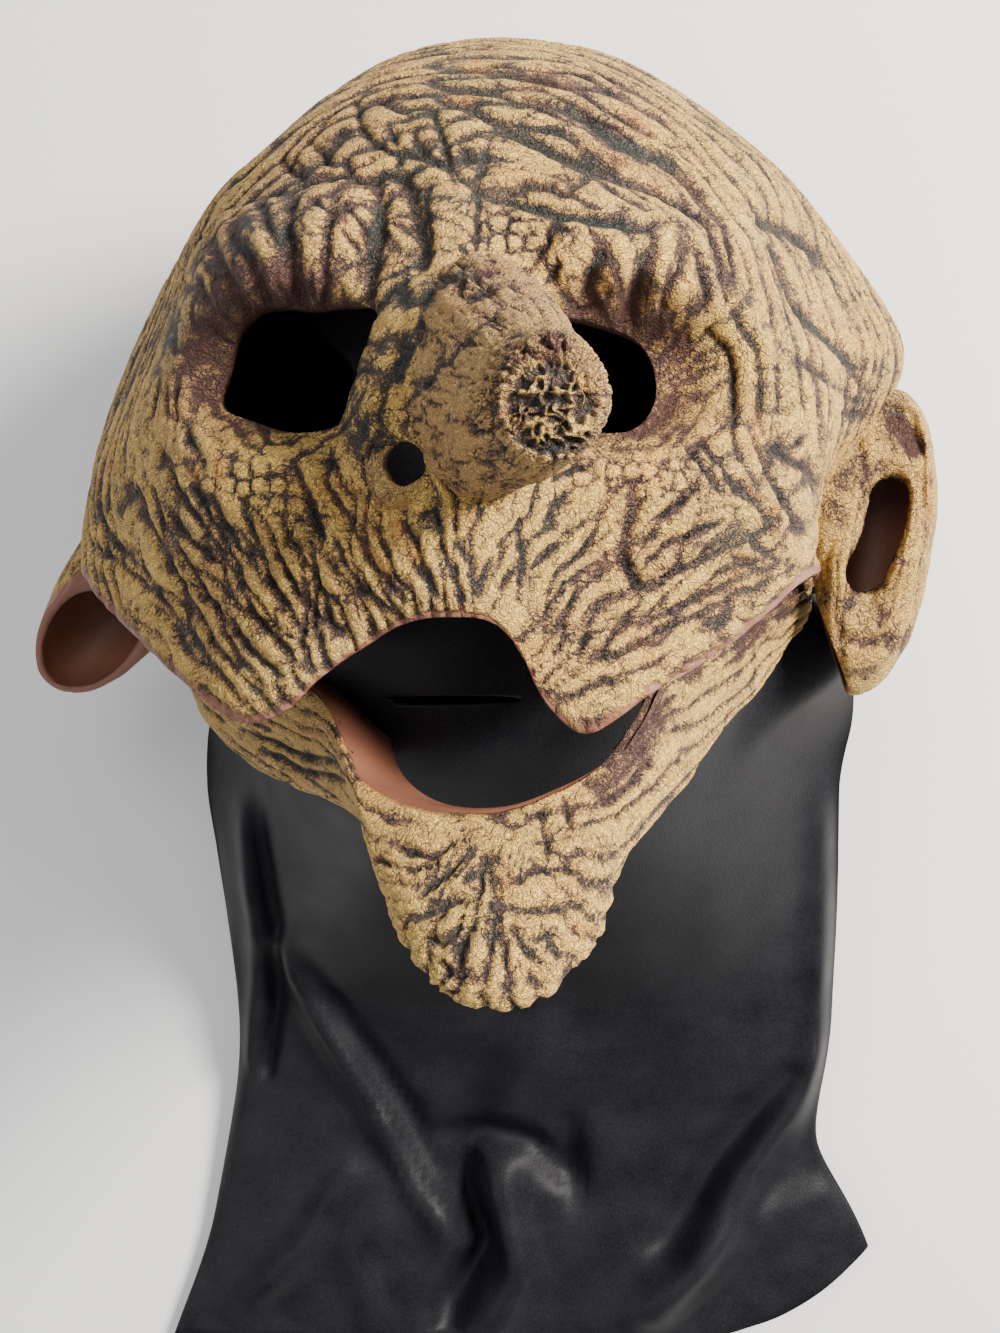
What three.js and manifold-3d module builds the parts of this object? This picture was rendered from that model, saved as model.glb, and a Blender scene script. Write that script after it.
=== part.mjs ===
// A grotesque old man carnival mask, lying on its back on a flat surface with the face up.
// Two thin latex castings, the head and the loose lower jaw, are carried by a black cloth hood
// that lines the head and runs out below the chin as a neck cloth. The hood is one bag, drawn as
// panels with fine gaps at their seams.
// Millimetres. +Z is the way the face looks, +Y points to the crown, +X to the right of someone
// who looks at the face. The origin is the middle of the flat spot that the back of the head lies on.

import * as THREE from "three";
import { mergeVertices } from "three/addons/utils/BufferGeometryUtils.js";
import Module from "manifold-3d";

const wasm = await Module();
wasm.setup();

// Driving dimensions
const WALL = 3.4; // latex from the hollow to the smooth skin, before folds
const SKULL = { middle: -3, halfWidth: 116, crown: 122, neck: 230, front: 113, back: 118 };
const SKULL_HEIGHT = 115; // middle of the skull above the surface
const FRONT_CROWDING = 0.42; // share by which the triangles gather towards the face
const DETAIL = { skin: 12, hollow: 7, nose: 15 };
const JAW_WALL = 2.6;
const CLOTH = 1.5;
const CLOTH_LIFT = 0.2; // height of the cloth above the surface

// Pushes that shape the plain skull into a face: the place, the reach and the way they push.
// One marked both is mirrored on the other side.
const PUSHES = [
  { at: [42, 44, 215], reach: [50, 26, 60], by: [0, -3, 14], both: true }, // brow ridges
  { at: [43, 11, 212], reach: [38, 25, 60], by: [0, 0, -24], both: true }, // eye sockets
  { at: [0, 34, 228], reach: [20, 48, 50], by: [0, 0, 8] }, // bridge between the eyes
  { at: [0, 80, 205], reach: [90, 44, 60], by: [0, 0, 6] }, // forehead
  { at: [64, -24, 200], reach: [40, 30, 60], by: [0, 0, 8], both: true }, // cheekbones
  { at: [0, -40, 226], reach: [38, 26, 50], by: [0, 0, 8] }, // upper lip
  { at: [50, -74, 208], reach: [46, 36, 60], by: [-2, -4, 10], both: true }, // jowls
  { at: [-124, -34, 128], reach: [60, 66, 70], by: [-10, -4, 8] }, // flared left cheek
  { at: [112, -24, 120], reach: [60, 62, 90], by: [-22, 0, 0] }, // side drawn in behind the right ear
  { at: [104, 42, 165], reach: [50, 50, 60], by: [-6, 0, -4], both: true }, // temples
  { at: [-70, 90, 125], reach: [60, 50, 80], by: [8, -7, 0] }, // sloping left of the crown
  { at: [68, 98, 125], reach: [50, 46, 70], by: [-3, -2, 0] }, // and right of it
  { at: [112, 30, 112], reach: [50, 46, 60], by: [8, 0, 0] }, // fullness above the right ear
  { at: [-118, 28, 115], reach: [50, 40, 60], by: [-4, 0, 0] }, // and on the left
];

// Folds of the skin as waves round a middle: count is the number of folds in a full turn,
// spacing the width of one ring. They fade out away from the place they lie near.
const FOLD_RISE = 0.45; // share of its depth by which a fold stands out more than it cuts in
const FOLDS = [
  { round: [-43, 8], count: 13, depth: 2.4, near: [-43, 42], reach: [32, 18] }, // left brow
  { round: [42, 6], count: 13, depth: 2, near: [44, 38], reach: [32, 18] }, // right brow
  { round: [12, -120], count: 32, depth: 1.8, near: [-74, -32], reach: [44, 46] }, // left cheek
  { round: [-8, -118], count: 31, depth: 1.8, near: [74, -36], reach: [42, 44] }, // right cheek
  { round: [0, -60], spacing: 23, depth: 1.8, near: [6, 92], reach: [90, 50] }, // forehead
];

// The lower edge of the head casting as seen from the front, from cheek to cheek over the lip.
const LIP_EDGE = [
  [-160, -12], [-131, -28], [-108, -46], [-86, -60], [-66, -71], [-53, -76], [-42, -73],
  [-33, -65], [-22, -57], [-11, -51.5], [0, -50], [11, -52], [17, -60], [22, -70],
  [31, -78], [39, -75], [47, -69], [60, -61], [74, -50], [86, -39], [96, -34], [160, -34],
];
const NAPE_EDGE = { side: -40, back: -88 }; // its height behind the ears and at the nape
const EDGE_TURN = { from: 70, to: 125 }; // the level where the nape's edge becomes the cheek's

const EYES = [
  { centre: [-43.5, 14], half: [23, 14.5] },
  { centre: [33.5, 9], half: [16, 14] },
];
const NOSTRILS = [
  { centre: [-15, -13.5, 218], radius: 4.8 },
  { centre: [25, -17, 216], radius: 4.2 },
];
const NOSTRIL_WING = [11, 10.5, 10];
const NOSTRIL_CUT = { from: 190, above: 11 };
const EYE_CUT = { from: 160, to: 260 };

// The nose is a club of oval sections along a bent line.
const NOSE_BLUNT = 2.4; // how soon the club reaches its full width at both ends
const NOSE = [
  { centre: [2, 6, 196], half: [20, 25] },
  { centre: [3.5, 4.5, 220], half: [22.5, 28.5] },
  { centre: [10, 3, 240], half: [20, 25] },
  { centre: [18, -2, 260], half: [17.5, 20] },
  { centre: [27, -6, 280], half: [13.5, 15.5] },
  { centre: [31.5, -7.5, 292], half: [11.5, 13] },
  { centre: [34, -8, 298], half: [9, 10] },
];

// Each ear is a hollow pocket, open at its lower end.
const EAR_THROAT = [14, 18, 10]; // the passage from the head's hollow into the pocket
const EARS = [
  {
    centre: [108, -25, 108], half: [17, 46, 20], lean: -8, bowl: 0.55,
    cut: [0, 1, 0], behind: -67, throat: [94, -22, 104],
  },
  {
    centre: [-126, -31, 92], half: [20, 49, 22], lean: -38, bowl: 0.1,
    cut: [0, 0.55, -0.835], behind: -112, throat: [-108, -20, 92],
  },
];

// The jaw is a band from one ear to the other: its rim along the mouth, and the keel below it.
const JAW_RIM = [
  [-106, -36, 98], [-97, -44, 118], [-78, -55, 142], [-58, -64, 160], [-46, -70, 172],
  [-36, -82, 186], [-29, -94, 199], [-8, -98, 214], [11, -97, 218], [23, -93, 213],
  [34, -87, 206], [42, -76, 194], [48, -64, 180], [62, -54, 158], [79, -43, 124], [90, -35, 100],
];
const JAW_KEEL = [
  [-114, -50, 88], [-101, -76, 106], [-78, -91, 130], [-57, -97, 152], [-38, -101, 174],
  [-23, -110, 194], [-11, -130, 226], [4, -140, 239], [21, -140, 240], [34, -128, 229],
  [40, -110, 205], [53, -95, 176], [63, -80, 150], [75, -67, 126], [83, -55, 106], [90, -46, 90],
];
const JAW_TUCK = { arms: 14, chin: 52 }; // how far the skin turns back below the keel
const JAW_CHIN = { at: 0.52, reach: 0.17 }; // where along the jaw its chin is, and how wide
const JAW_FRONT = { lower: 2, out: 4, chinOut: 6 }; // how far its front swells past the straight line
const JAW_TURN = [0, 0.35, -0.94]; // the way it turns back
const JAW_GRID = [27, 7];

// Sections of the hood from crown to hem: position, half width and how peaked the front is,
// then the height of the lowest point, of the widest place and of the highest point.
const HOOD = [
  [102, 34, 1, 82, 115, 146], [84, 54, 1, 58, 112, 166], [58, 82, 1, 37, 108, 180],
  [18, 91, 1, 26, 104, 186], [-22, 88, 1.1, 26, 100, 186], [-56, 88, 1.5, 28, 88, 182],
  [-84, 105, 2.8, 33, 58, 170], [-104, 108, 2.9, 22, 50, 150], [-126, 109, 2.4, 7, 36, 116],
  [-150, 109, 1.8, 1, 24, 80], [-180, 108, 1.4, 0, 14, 44], [-220, 107, 1.1, 0, 8, 24],
  [-262, 112, 1, 0, 6, 15], [-306, 128, 1, 0, 5, 12],
];
const HOOD_MIDDLE = -8;
const POLE = 0.05; // share of the way along over which the bag closes at the crown

// The hood's bands from crown to hem: where each ends as a share of the way along, its rows of
// squares, and its seams in degrees, counted from the right side over the front.
const HOOD_BANDS = [
  { name: "crown", to: 0.123, rows: 2, seams: [] },
  { name: "head", to: 0.415, rows: 4, seams: [45, 135, 225, 315] },
  { name: "chin", to: 0.562, rows: 3, seams: [45, 135, 225, 315] },
  { name: "neck", to: 0.708, rows: 2, seams: [45, 135, 225, 315] },
  { name: "cape", to: 0.854, rows: 3, seams: [30, 150, 210, 330] },
  { name: "hem", to: 1, rows: 3, seams: [30, 150, 210, 330] },
];
const PANEL_SIDES = ["front", "left", "back", "right"];
const SQUARES_ROUND = 24;
const SEAM_GAP = { along: 0.001, round: 0.24 }; // half a seam's gap, as a share and in degrees
const HEM = { leftDip: 7, rightRise: 38, drift: -7 }; // how the hem slants and drifts to the left
const MOUTH_SLIT = { centre: [-10, -71], size: [38, 2.5] };
const CLOTH_CUT = { from: 120, to: 260 };

const smoothstep = THREE.MathUtils.smoothstep;
const clamp = THREE.MathUtils.clamp;
const lerp = THREE.MathUtils.lerp;

// A geometry with nothing but welded positions.
function welded(geometry) {
  const bare = geometry.clone();
  bare.deleteAttribute("normal");
  bare.deleteAttribute("uv");
  return mergeVertices(bare, 1e-4);
}

// A closed geometry as a solid that can be joined and cut.
function solidOf(geometry) {
  const closed = welded(geometry);
  return new wasm.Manifold(
    new wasm.Mesh({
      numProp: 3,
      vertProperties: closed.attributes.position.array,
      triVerts: new Uint32Array(closed.index.array),
    }),
  );
}

function geometryOf(solid) {
  const mesh = solid.getMesh();
  const geometry = new THREE.BufferGeometry();
  geometry.setAttribute("position", new THREE.BufferAttribute(mesh.vertProperties, 3));
  geometry.setIndex(new THREE.BufferAttribute(mesh.triVerts, 1));
  return geometry;
}

// Moves every vertex of a geometry to the place that a function gives.
function reshape(geometry, place) {
  const position = geometry.attributes.position;
  for (let i = 0; i < position.count; i++) {
    const point = place(new THREE.Vector3().fromBufferAttribute(position, i));
    position.setXYZ(i, point.x, point.y, point.z);
  }
  return geometry;
}

function curveThrough(points) {
  return new THREE.CatmullRomCurve3(points.map((p) => new THREE.Vector3(...p)), false, "centripetal");
}

// How strongly a push acts at a point, from 1 at its middle to 0 at its reach.
function strength(point, at, reach) {
  const far =
    ((point.x - at[0]) / reach[0]) ** 2 +
    ((point.y - at[1]) / reach[1]) ** 2 +
    ((point.z - at[2]) / reach[2]) ** 2;
  return far < 1 ? (1 - far) ** 2 : 0;
}

// Height of the folds over the smooth skin.
function foldHeight(point) {
  let height = 0;
  for (const { round, count, spacing, depth, near, reach } of FOLDS) {
    const away = Math.hypot((point.x - near[0]) / reach[0], (point.y - near[1]) / reach[1]);
    const fade = (1 - smoothstep(away, 0.6, 1.1)) * smoothstep(point.z, 110, 170);
    const dx = point.x - round[0];
    const dy = point.y - round[1];
    const wave = spacing
      ? Math.hypot(dx, dy, 230 - point.z) / spacing
      : (Math.atan2(dy, dx) / (2 * Math.PI)) * count;
    height += depth * fade * (Math.cos(2 * Math.PI * wave) + FOLD_RISE);
  }
  return height;
}

// A point of the head's skin for a direction, with the directions crowded towards the face.
function skinPoint(direction, folded) {
  const polar = Math.acos(clamp(direction.z, -1, 1));
  const round = Math.atan2(direction.y, direction.x);
  const crowded = polar - FRONT_CROWDING * Math.sin(polar);
  const x = Math.sin(crowded) * Math.cos(round);
  const y = Math.sin(crowded) * Math.sin(round);
  const z = Math.cos(crowded);
  const down = lerp(SKULL.crown, SKULL.neck, smoothstep(z, -1, 0.3));
  const plain = new THREE.Vector3(
    SKULL.middle + x * SKULL.halfWidth,
    y * (y > 0 ? SKULL.crown : down),
    SKULL_HEIGHT + z * (z > 0 ? SKULL.front : SKULL.back),
  );
  const point = plain.clone();
  for (const push of PUSHES) {
    for (const side of push.both ? [1, -1] : [1]) {
      const amount = strength(plain, [side * push.at[0], push.at[1], push.at[2]], push.reach);
      point.x += side * push.by[0] * amount;
      point.y += push.by[1] * amount;
      point.z += push.by[2] * amount;
    }
  }
  if (!folded) return point;
  const outward = new THREE.Vector3(x, y > 0 ? y : y * 0.4, z).normalize();
  return point.addScaledVector(outward, foldHeight(plain));
}

// The head without nose and ears: its skin, or its hollow one wall's thickness inside it.
function skull(detail, inset) {
  const sphere = welded(new THREE.IcosahedronGeometry(1, detail));
  reshape(sphere, (p) => skinPoint(p, !inset));
  if (inset) drawIn(sphere, inset);
  return solidOf(sphere);
}

// Moves a closed skin inwards along its own normals.
function drawIn(geometry, distance) {
  geometry.computeVertexNormals();
  const normal = geometry.attributes.normal;
  let i = 0;
  reshape(geometry, (point) => {
    const inward = new THREE.Vector3().fromBufferAttribute(normal, i++);
    return point.addScaledVector(inward, -distance);
  });
  geometry.deleteAttribute("normal");
}

// The nose as a closed club, drawn in by inset for its hollow.
function nose(inset, segments) {
  const line = curveThrough(NOSE.map((section) => section.centre));
  const widths = curveThrough(NOSE.map((section) => [...section.half, 0]));
  const club = welded(new THREE.SphereGeometry(1, segments, segments - 4));
  reshape(club, (p) => {
    const t = Math.acos(clamp(-p.y, -1, 1)) / Math.PI;
    const radius = Math.hypot(p.x, p.z);
    const full = radius < 1e-6 ? 0 : Math.min(1, radius * NOSE_BLUNT) / radius;
    const half = widths.getPoint(t);
    const centre = line.getPoint(t);
    return new THREE.Vector3(
      centre.x + p.x * full * (half.x - inset),
      centre.y - p.z * full * (half.y - inset),
      centre.z - inset * smoothstep(t, 0.8, 1),
    );
  });
  return solidOf(club);
}

// An egg-shaped solid with its front pressed in by bowl.
function egg(centre, half, { lean = 0, bowl = 0, segments = 12 } = {}) {
  const ball = welded(new THREE.SphereGeometry(1, segments, segments - 2));
  const turn = THREE.MathUtils.degToRad(lean);
  reshape(ball, (p) => {
    const press = p.z > 0 ? 1 - bowl * Math.exp(-(p.x * p.x + 0.5 * p.y * p.y) / 0.2) : 1;
    const local = new THREE.Vector3(p.x * half[0], p.y * half[1], p.z * half[2] * press);
    return local.applyAxisAngle(new THREE.Vector3(0, 0, 1), turn).add(new THREE.Vector3(...centre));
  });
  return solidOf(ball);
}

// Height of the head casting's lower edge at a place given by its side and level.
function edgeHeight(x, z) {
  const i = Math.max(1, LIP_EDGE.findIndex(([edgeX]) => edgeX >= x));
  const [x0, y0] = LIP_EDGE[i - 1];
  const [x1, y1] = LIP_EDGE[i];
  const lip = lerp(y0, y1, (x - x0) / (x1 - x0));
  const nape = lerp(NAPE_EDGE.back, NAPE_EDGE.side, smoothstep(z, 0, EDGE_TURN.from));
  return lerp(nape, lip, smoothstep(z, EDGE_TURN.from, EDGE_TURN.to));
}

// Everything below that edge, as one solid to cut away.
function belowEdge() {
  const block = welded(new THREE.BoxGeometry(300, 2, 300, 48, 1, 10));
  return solidOf(
    reshape(block, (p) => {
      const z = p.z + 140;
      return new THREE.Vector3(p.x, p.y > 0 ? edgeHeight(p.x, z) : -400, z);
    }),
  );
}

// An upright prism with an oval outline.
function ovalPrism([x, y], [halfX, halfY], { from, to }, steps) {
  const outline = new THREE.Shape();
  outline.absellipse(x, y, halfX, halfY, 0, 2 * Math.PI);
  const prism = new THREE.ExtrudeGeometry(outline, {
    depth: to - from,
    bevelEnabled: false,
    curveSegments: steps,
  });
  prism.translate(0, 0, from);
  return solidOf(prism);
}

// The head casting, with nose and ears, open at the neck.
function headCasting() {
  const hollow = skull(DETAIL.hollow, WALL).trimByPlane([0, 0, 1], WALL);
  let shell = skull(DETAIL.skin, 0);
  for (const { centre } of NOSTRILS) shell = shell.add(egg(centre, NOSTRIL_WING, { segments: 10 }));
  shell = shell.subtract(hollow).subtract(belowEdge());
  for (const eye of EYES) shell = shell.subtract(ovalPrism(eye.centre, eye.half, EYE_CUT, 10));
  const noseHollow = nose(WALL, 12);
  shell = shell.subtract(noseHollow).add(nose(0, DETAIL.nose).subtract(noseHollow).subtract(hollow));
  for (const { centre, radius } of NOSTRILS) {
    const cut = { from: NOSTRIL_CUT.from, to: centre[2] + NOSTRIL_CUT.above };
    shell = shell.subtract(ovalPrism(centre, [radius, radius], cut, 6));
  }
  for (const pocket of EARS) {
    const drawnIn = pocket.half.map((half) => half - WALL);
    const inside = egg(pocket.centre, drawnIn, { ...pocket, bowl: pocket.bowl + 0.1 });
    const throat = egg(pocket.throat, EAR_THROAT, { segments: 8 });
    const skin = egg(pocket.centre, pocket.half, pocket).trimByPlane(pocket.cut, pocket.behind);
    shell = shell.add(skin.subtract(hollow)).subtract(inside).subtract(throat);
  }
  return shell.trimByPlane([0, 0, 1], 0);
}

// A closed sheet of even thickness from an open patch that faces outwards.
function thicken(patch, thickness) {
  patch.computeVertexNormals();
  const { position, normal } = patch.attributes;
  const count = position.count;
  const vertices = [];
  for (const depth of [0, thickness]) {
    for (let i = 0; i < count; i++) {
      vertices.push(
        position.getX(i) - normal.getX(i) * depth,
        position.getY(i) - normal.getY(i) * depth,
        position.getZ(i) - normal.getZ(i) * depth,
      );
    }
  }
  const triangles = [];
  const openEdges = new Map();
  for (let i = 0; i < patch.index.count; i += 3) {
    const [a, b, c] = patch.index.array.slice(i, i + 3);
    triangles.push(a, b, c, a + count, c + count, b + count);
    for (const [from, to] of [[a, b], [b, c], [c, a]]) {
      if (!openEdges.delete(`${to} ${from}`)) openEdges.set(`${from} ${to}`, [from, to]);
    }
  }
  for (const [from, to] of openEdges.values()) {
    triangles.push(from, from + count, to + count, from, to + count, to);
  }
  const sheet = new THREE.BufferGeometry();
  sheet.setAttribute("position", new THREE.Float32BufferAttribute(vertices, 3));
  sheet.setIndex(triangles);
  return sheet;
}

// The jaw casting, one sheet from the rim over the front and the keel to the tucked edge.
function jawCasting() {
  const rim = curveThrough(JAW_RIM);
  const keel = curveThrough(JAW_KEEL);
  const patch = welded(new THREE.PlaneGeometry(1, 1, ...JAW_GRID));
  reshape(patch, (p) => {
    const along = p.x + 0.5;
    const middle = Math.exp(-(((along - JAW_CHIN.at) / JAW_CHIN.reach) ** 2));
    const top = rim.getPoint(along);
    const low = keel.getPoint(along);
    const out = JAW_FRONT.out + JAW_FRONT.chinOut * middle;
    const front = top.clone().lerp(low, 0.5).add(new THREE.Vector3(0, -JAW_FRONT.lower, out));
    const tuck = lerp(JAW_TUCK.arms, JAW_TUCK.chin, middle);
    const hem = low.clone().add(new THREE.Vector3(...JAW_TURN).multiplyScalar(tuck));
    return new THREE.CatmullRomCurve3([top, front, low, hem]).getPoint(0.5 - p.y);
  });
  return solidOf(thicken(patch, JAW_WALL));
}

// One panel of the hood, bent to the bag that is closed at the crown and open at the hem.
function hoodPanel(from, to, rows, start, turn) {
  const widths = curveThrough(HOOD.map(([at, half, peak]) => [at, half, peak]));
  const heights = curveThrough(HOOD.map(([, , , low, belly, high]) => [low, belly, high]));
  const { degToRad } = THREE.MathUtils;
  const quarter = Math.PI / 2;
  const squares = Math.round((SQUARES_ROUND * turn) / 360);
  const left = degToRad(180 - start - turn);
  const patch = welded(
    new THREE.SphereGeometry(1, squares, rows, left, degToRad(turn), from * quarter, (to - from) * quarter),
  );
  reshape(patch, (p) => {
    const along = Math.acos(clamp(p.y, -1, 1)) / quarter;
    const around = Math.atan2(p.z, p.x);
    const share = clamp((along - POLE) / (1 - POLE), 0, 1);
    const closing = Math.min(1, along / POLE);
    const { x: at, y: half, z: peak } = widths.getPoint(share);
    const { x: low, y: belly, z: high } = heights.getPoint(share);
    const side = Math.cos(around);
    const rise = Math.sin(around);
    const underside = lerp(1, 0.4, smoothstep(share, 0.45, 0.7)); // it lies flat below the neck
    const level = rise > 0 ? (high - belly) * rise ** peak : -(belly - low) * (-rise) ** underside;
    const slant = side < 0 ? HEM.leftDip * side : HEM.rightRise * side ** 4;
    return new THREE.Vector3(
      HOOD_MIDDLE + half * side * closing + HEM.drift * smoothstep(share, 0.78, 0.92),
      at + (1 - closing) * 4 + slant * smoothstep(share, 0.8, 1),
      belly + level * closing + CLOTH_LIFT,
    );
  });
  return solidOf(thicken(patch, CLOTH));
}

// All the panels by name, with the eye holes and the mouth slit cut in them.
function hoodPanels() {
  const slit = new THREE.BoxGeometry(...MOUTH_SLIT.size, CLOTH_CUT.to - CLOTH_CUT.from);
  slit.translate(...MOUTH_SLIT.centre, (CLOTH_CUT.from + CLOTH_CUT.to) / 2);
  const cuts = EYES.map((eye) => ovalPrism(eye.centre, eye.half, CLOTH_CUT, 8)).concat(solidOf(slit));
  const panels = [];
  let from = 0;
  for (const { name, to, rows, seams } of HOOD_BANDS) {
    const start = from === 0 ? 0 : from + SEAM_GAP.along;
    const end = to === 1 ? 1 : to - SEAM_GAP.along;
    if (seams.length === 0) panels.push([`hood_${name}`, hoodPanel(start, end, rows, 0, 360)]);
    seams.forEach((seam, i) => {
      const next = i + 1 < seams.length ? seams[i + 1] : seams[0] + 360;
      const turn = next - seam - 2 * SEAM_GAP.round;
      const panel = hoodPanel(start, end, rows, seam + SEAM_GAP.round, turn);
      panels.push([`hood_${name}_${PANEL_SIDES[i]}`, panel]);
    });
    from = to;
  }
  return panels.map(([name, panel]) => [name, cuts.reduce((cloth, cut) => cloth.subtract(cut), panel)]);
}

function named(name, solid, color, roughness) {
  const look = new THREE.MeshStandardMaterial({ color, roughness, metalness: 0 });
  const mesh = new THREE.Mesh(geometryOf(solid), look);
  mesh.name = name;
  return mesh;
}

const mask = new THREE.Group();
mask.add(named("head_casting", headCasting(), 0xc2a171, 0.62));
mask.add(named("lower_jaw", jawCasting(), 0xb9946b, 0.62));
for (const [name, panel] of hoodPanels()) mask.add(named(name, panel, 0x141416, 0.5));

export default mask;
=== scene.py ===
# The finish of a grotesque old man carnival mask, lying on its back with the face up:
# a painted latex head casting, a loose latex jaw and a black cloth hood with its neck cloth.
# Shapes are worked out in millimetres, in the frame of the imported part, and turned to metres last.
# Whole numbers that end a call of noise, wander, scattered, ropes or cobbles only pick a pattern.

import math

import bmesh
import bpy
import numpy as np
from mathutils import Matrix, Vector
from mathutils.kdtree import KDTree


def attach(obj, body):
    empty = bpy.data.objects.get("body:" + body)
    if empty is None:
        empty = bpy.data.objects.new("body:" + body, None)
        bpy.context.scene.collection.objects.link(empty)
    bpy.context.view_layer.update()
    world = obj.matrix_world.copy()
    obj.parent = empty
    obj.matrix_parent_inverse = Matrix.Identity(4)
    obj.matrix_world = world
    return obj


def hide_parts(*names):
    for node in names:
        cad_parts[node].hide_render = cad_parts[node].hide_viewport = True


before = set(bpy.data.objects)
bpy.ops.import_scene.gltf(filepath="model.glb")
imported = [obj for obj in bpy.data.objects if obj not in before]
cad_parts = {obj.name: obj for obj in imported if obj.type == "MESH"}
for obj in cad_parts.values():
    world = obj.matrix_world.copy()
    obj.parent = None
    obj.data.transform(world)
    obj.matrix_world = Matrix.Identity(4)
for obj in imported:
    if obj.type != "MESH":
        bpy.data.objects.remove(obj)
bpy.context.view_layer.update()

MM = 0.001

# The view of the photograph
PHOTO_SIZE = (1000, 1333)
FOCAL_PIXELS = 1773
SENSOR = 36
VIEW = {"target": (12, -62, 228), "distance": 424, "yaw": 8}
SEEN_FACING = (0.08, 0.35)  # how squarely a surface faces it before traced lines show on it
SEEN_LEVELS = (80, 110)  # and how far up it lies

# How fine the meshes are
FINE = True
SKIN_CUTS = 112 if FINE else 66
HOLLOW_CUTS = 26
NOSE_GRID = (150, 126) if FINE else (64, 56)
EAR_GRID = (110, 76) if FINE else (56, 40)
JAW_GRID = (240, 92) if FINE else (130, 50)
HOOD_GRID = (196, 196) if FINE else (110, 110)
EDGE_CUTS = (200, 60)
EDGE_SAMPLES = 400
OUTLINE_CUTS = 96
OVAL_CUTS = 64
NOSE_HOLLOW_GRID = (28, 22)
WING_GRID = (40, 28)
EAR_INSIDE_GRID = (32, 24)
EAR_WEB_GRID = (70, 60)
THROAT_GRID = (20, 14)
FRONT_CROWDING = 0.42  # how far a ball's points are drawn to the face, in two steps
FACE_GATHER = (0, 0, 0.35)
EDGE_GATHER = ((-90, -50, 0, 90), (-90, -27, 0, 90))  # and upwards, in degrees of height

# Thicknesses and what is left at edges
WALL = {"head": 3.1, "edge": 1.7, "nose": 2.4, "ear": 2.0, "jaw": 2.2, "cloth": 0.9}
EDGE_THINS = (6, 20)  # the skin gets its whole thickness between these distances from its edge
THINNEST = 0.8  # the skin in its deepest creases
PAINT_STOPS = 2.2  # the coat ends this far from a cut edge
PAINT_DEPTH = 1.3  # and what lies this deep below it is bare
JAW_TO_CLOTH = 0.3

# The head
SKULL = {"middle": -3, "halfWidth": 116, "crown": 122, "neck": 230, "front": 113, "back": 118}
SKULL_HEIGHT = 115
PUSHES = [  # where, how far round, by how much, and whether on both sides
    ((42, 44, 215), (50, 26, 60), (0, -3, 14), True),  # brow ridges
    ((43, 11, 212), (38, 25, 60), (0, 0, -24), True),  # eye sockets
    ((0, 34, 228), (20, 48, 50), (0, 0, 8), False),  # bridge between the eyes
    ((0, 80, 205), (90, 44, 60), (0, 0, 6), False),  # forehead
    ((64, -24, 200), (40, 30, 60), (0, 0, 8), True),  # cheekbones
    ((0, -40, 226), (38, 26, 50), (0, 0, 8), False),  # upper lip
    ((50, -74, 208), (46, 36, 60), (-2, -4, 10), True),  # jowls
    ((-124, -34, 128), (60, 66, 70), (-10, -4, 8), False),  # flared left cheek
    ((112, -24, 120), (60, 62, 90), (-22, 0, 0), False),  # side drawn in behind the right ear
    ((104, 42, 165), (50, 50, 60), (-6, 0, -4), True),  # temples
    ((-70, 90, 125), (60, 50, 80), (8, -7, 0), False),  # sloping left of the crown
    ((68, 98, 125), (50, 46, 70), (-3, -2, 0), False),  # and right of it
    ((112, 30, 112), (50, 46, 60), (8, 0, 0), False),  # fullness above the right ear
    ((-118, 28, 115), (50, 40, 60), (-4, 0, 0), False),  # and on the left
    ((-19, 7, 225), (12, 38, 50), (-2, 0, 7), False),  # left side of the nose
    ((2, 4, 228), (35, 41, 60), (0, 0, 22), False),  # rise of the face to the nose
]
LIP_EDGE = [  # the lower edge of the head as seen from the front
    (-160, -12), (-131, -28), (-108, -46), (-86, -60), (-66, -71), (-53, -76), (-42, -73),
    (-33, -65), (-22, -57), (-11, -51.5), (0, -50), (11, -52), (17, -60), (22, -70),
    (31, -78), (39, -75), (47, -69), (60, -61), (74, -50), (86, -39), (96, -34), (160, -34),
]
NAPE_EDGE = {"side": -40, "back": -88}
EDGE_TURN = (70, 125)  # between these levels the edge goes over from the nape to the lip
EDGE_WOBBLE = 0.9
EDGE_BLOCK = {"half": 162, "middle": 140, "reach": 155, "bottom": -400}
EYES = [
    [(-65, 6), (-63, 16), (-59, 24), (-50, 28), (-36, 27), (-26, 26.5),
     (-17.5, 23), (-18.5, 15), (-23, 6.5), (-31, -2), (-42, -3), (-55, 1)],
    [(24, 22), (37, 22), (44, 19), (47, 13), (47, 4), (43, -3), (35, -5), (25, -3), (21, 10)],
]
EYES_CUT = (160, 262)  # the levels between which they are cut
NOSTRILS = [((-9.2, -14.4, 230), 5.2), ((17, -16, 212), 4.2)]
NOSTRIL_CUT = {"from": 190, "past": 13, "uneven": 0.12}
NOSTRIL_WING = (11, 10.5, 10)
NOSE = [  # its rings from root to tip: where they are, and half their width and height
    ((2, 6, 196), (20, 25)), ((4.5, 5.5, 220), (21, 29)), ((10, 5.5, 240), (19.5, 28)),
    ((18, 0, 260), (17.5, 22.5)), ((27, -6, 280), (13.5, 15.5)), ((31.5, -7.5, 292), (11.5, 13)),
    ((34, -8, 298), (9, 10)),
]
NOSE_LENGTH = 115  # along the nose, for its folds
NOSE_ROUND = 17  # and round it, for each radian
EAR_THROAT = (14, 18, 10)
EAR_ROUND = 26  # round an ear, for each radian, for its folds
EAR_ACROSS = 30  # and from its middle to its rim
RIGHT_EAR = {
    "centre": (108, -25, 108), "half": (17, 46, 20), "lean": -8, "bowl": 0.55,
    "cut": (0, 1, 0), "behind": -90, "throat": (94, -22, 104), "hollow": 0.8,
}
EAR_WEB = {"centre": (95, -8, 107), "half": (12, 34, 17)}
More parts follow.
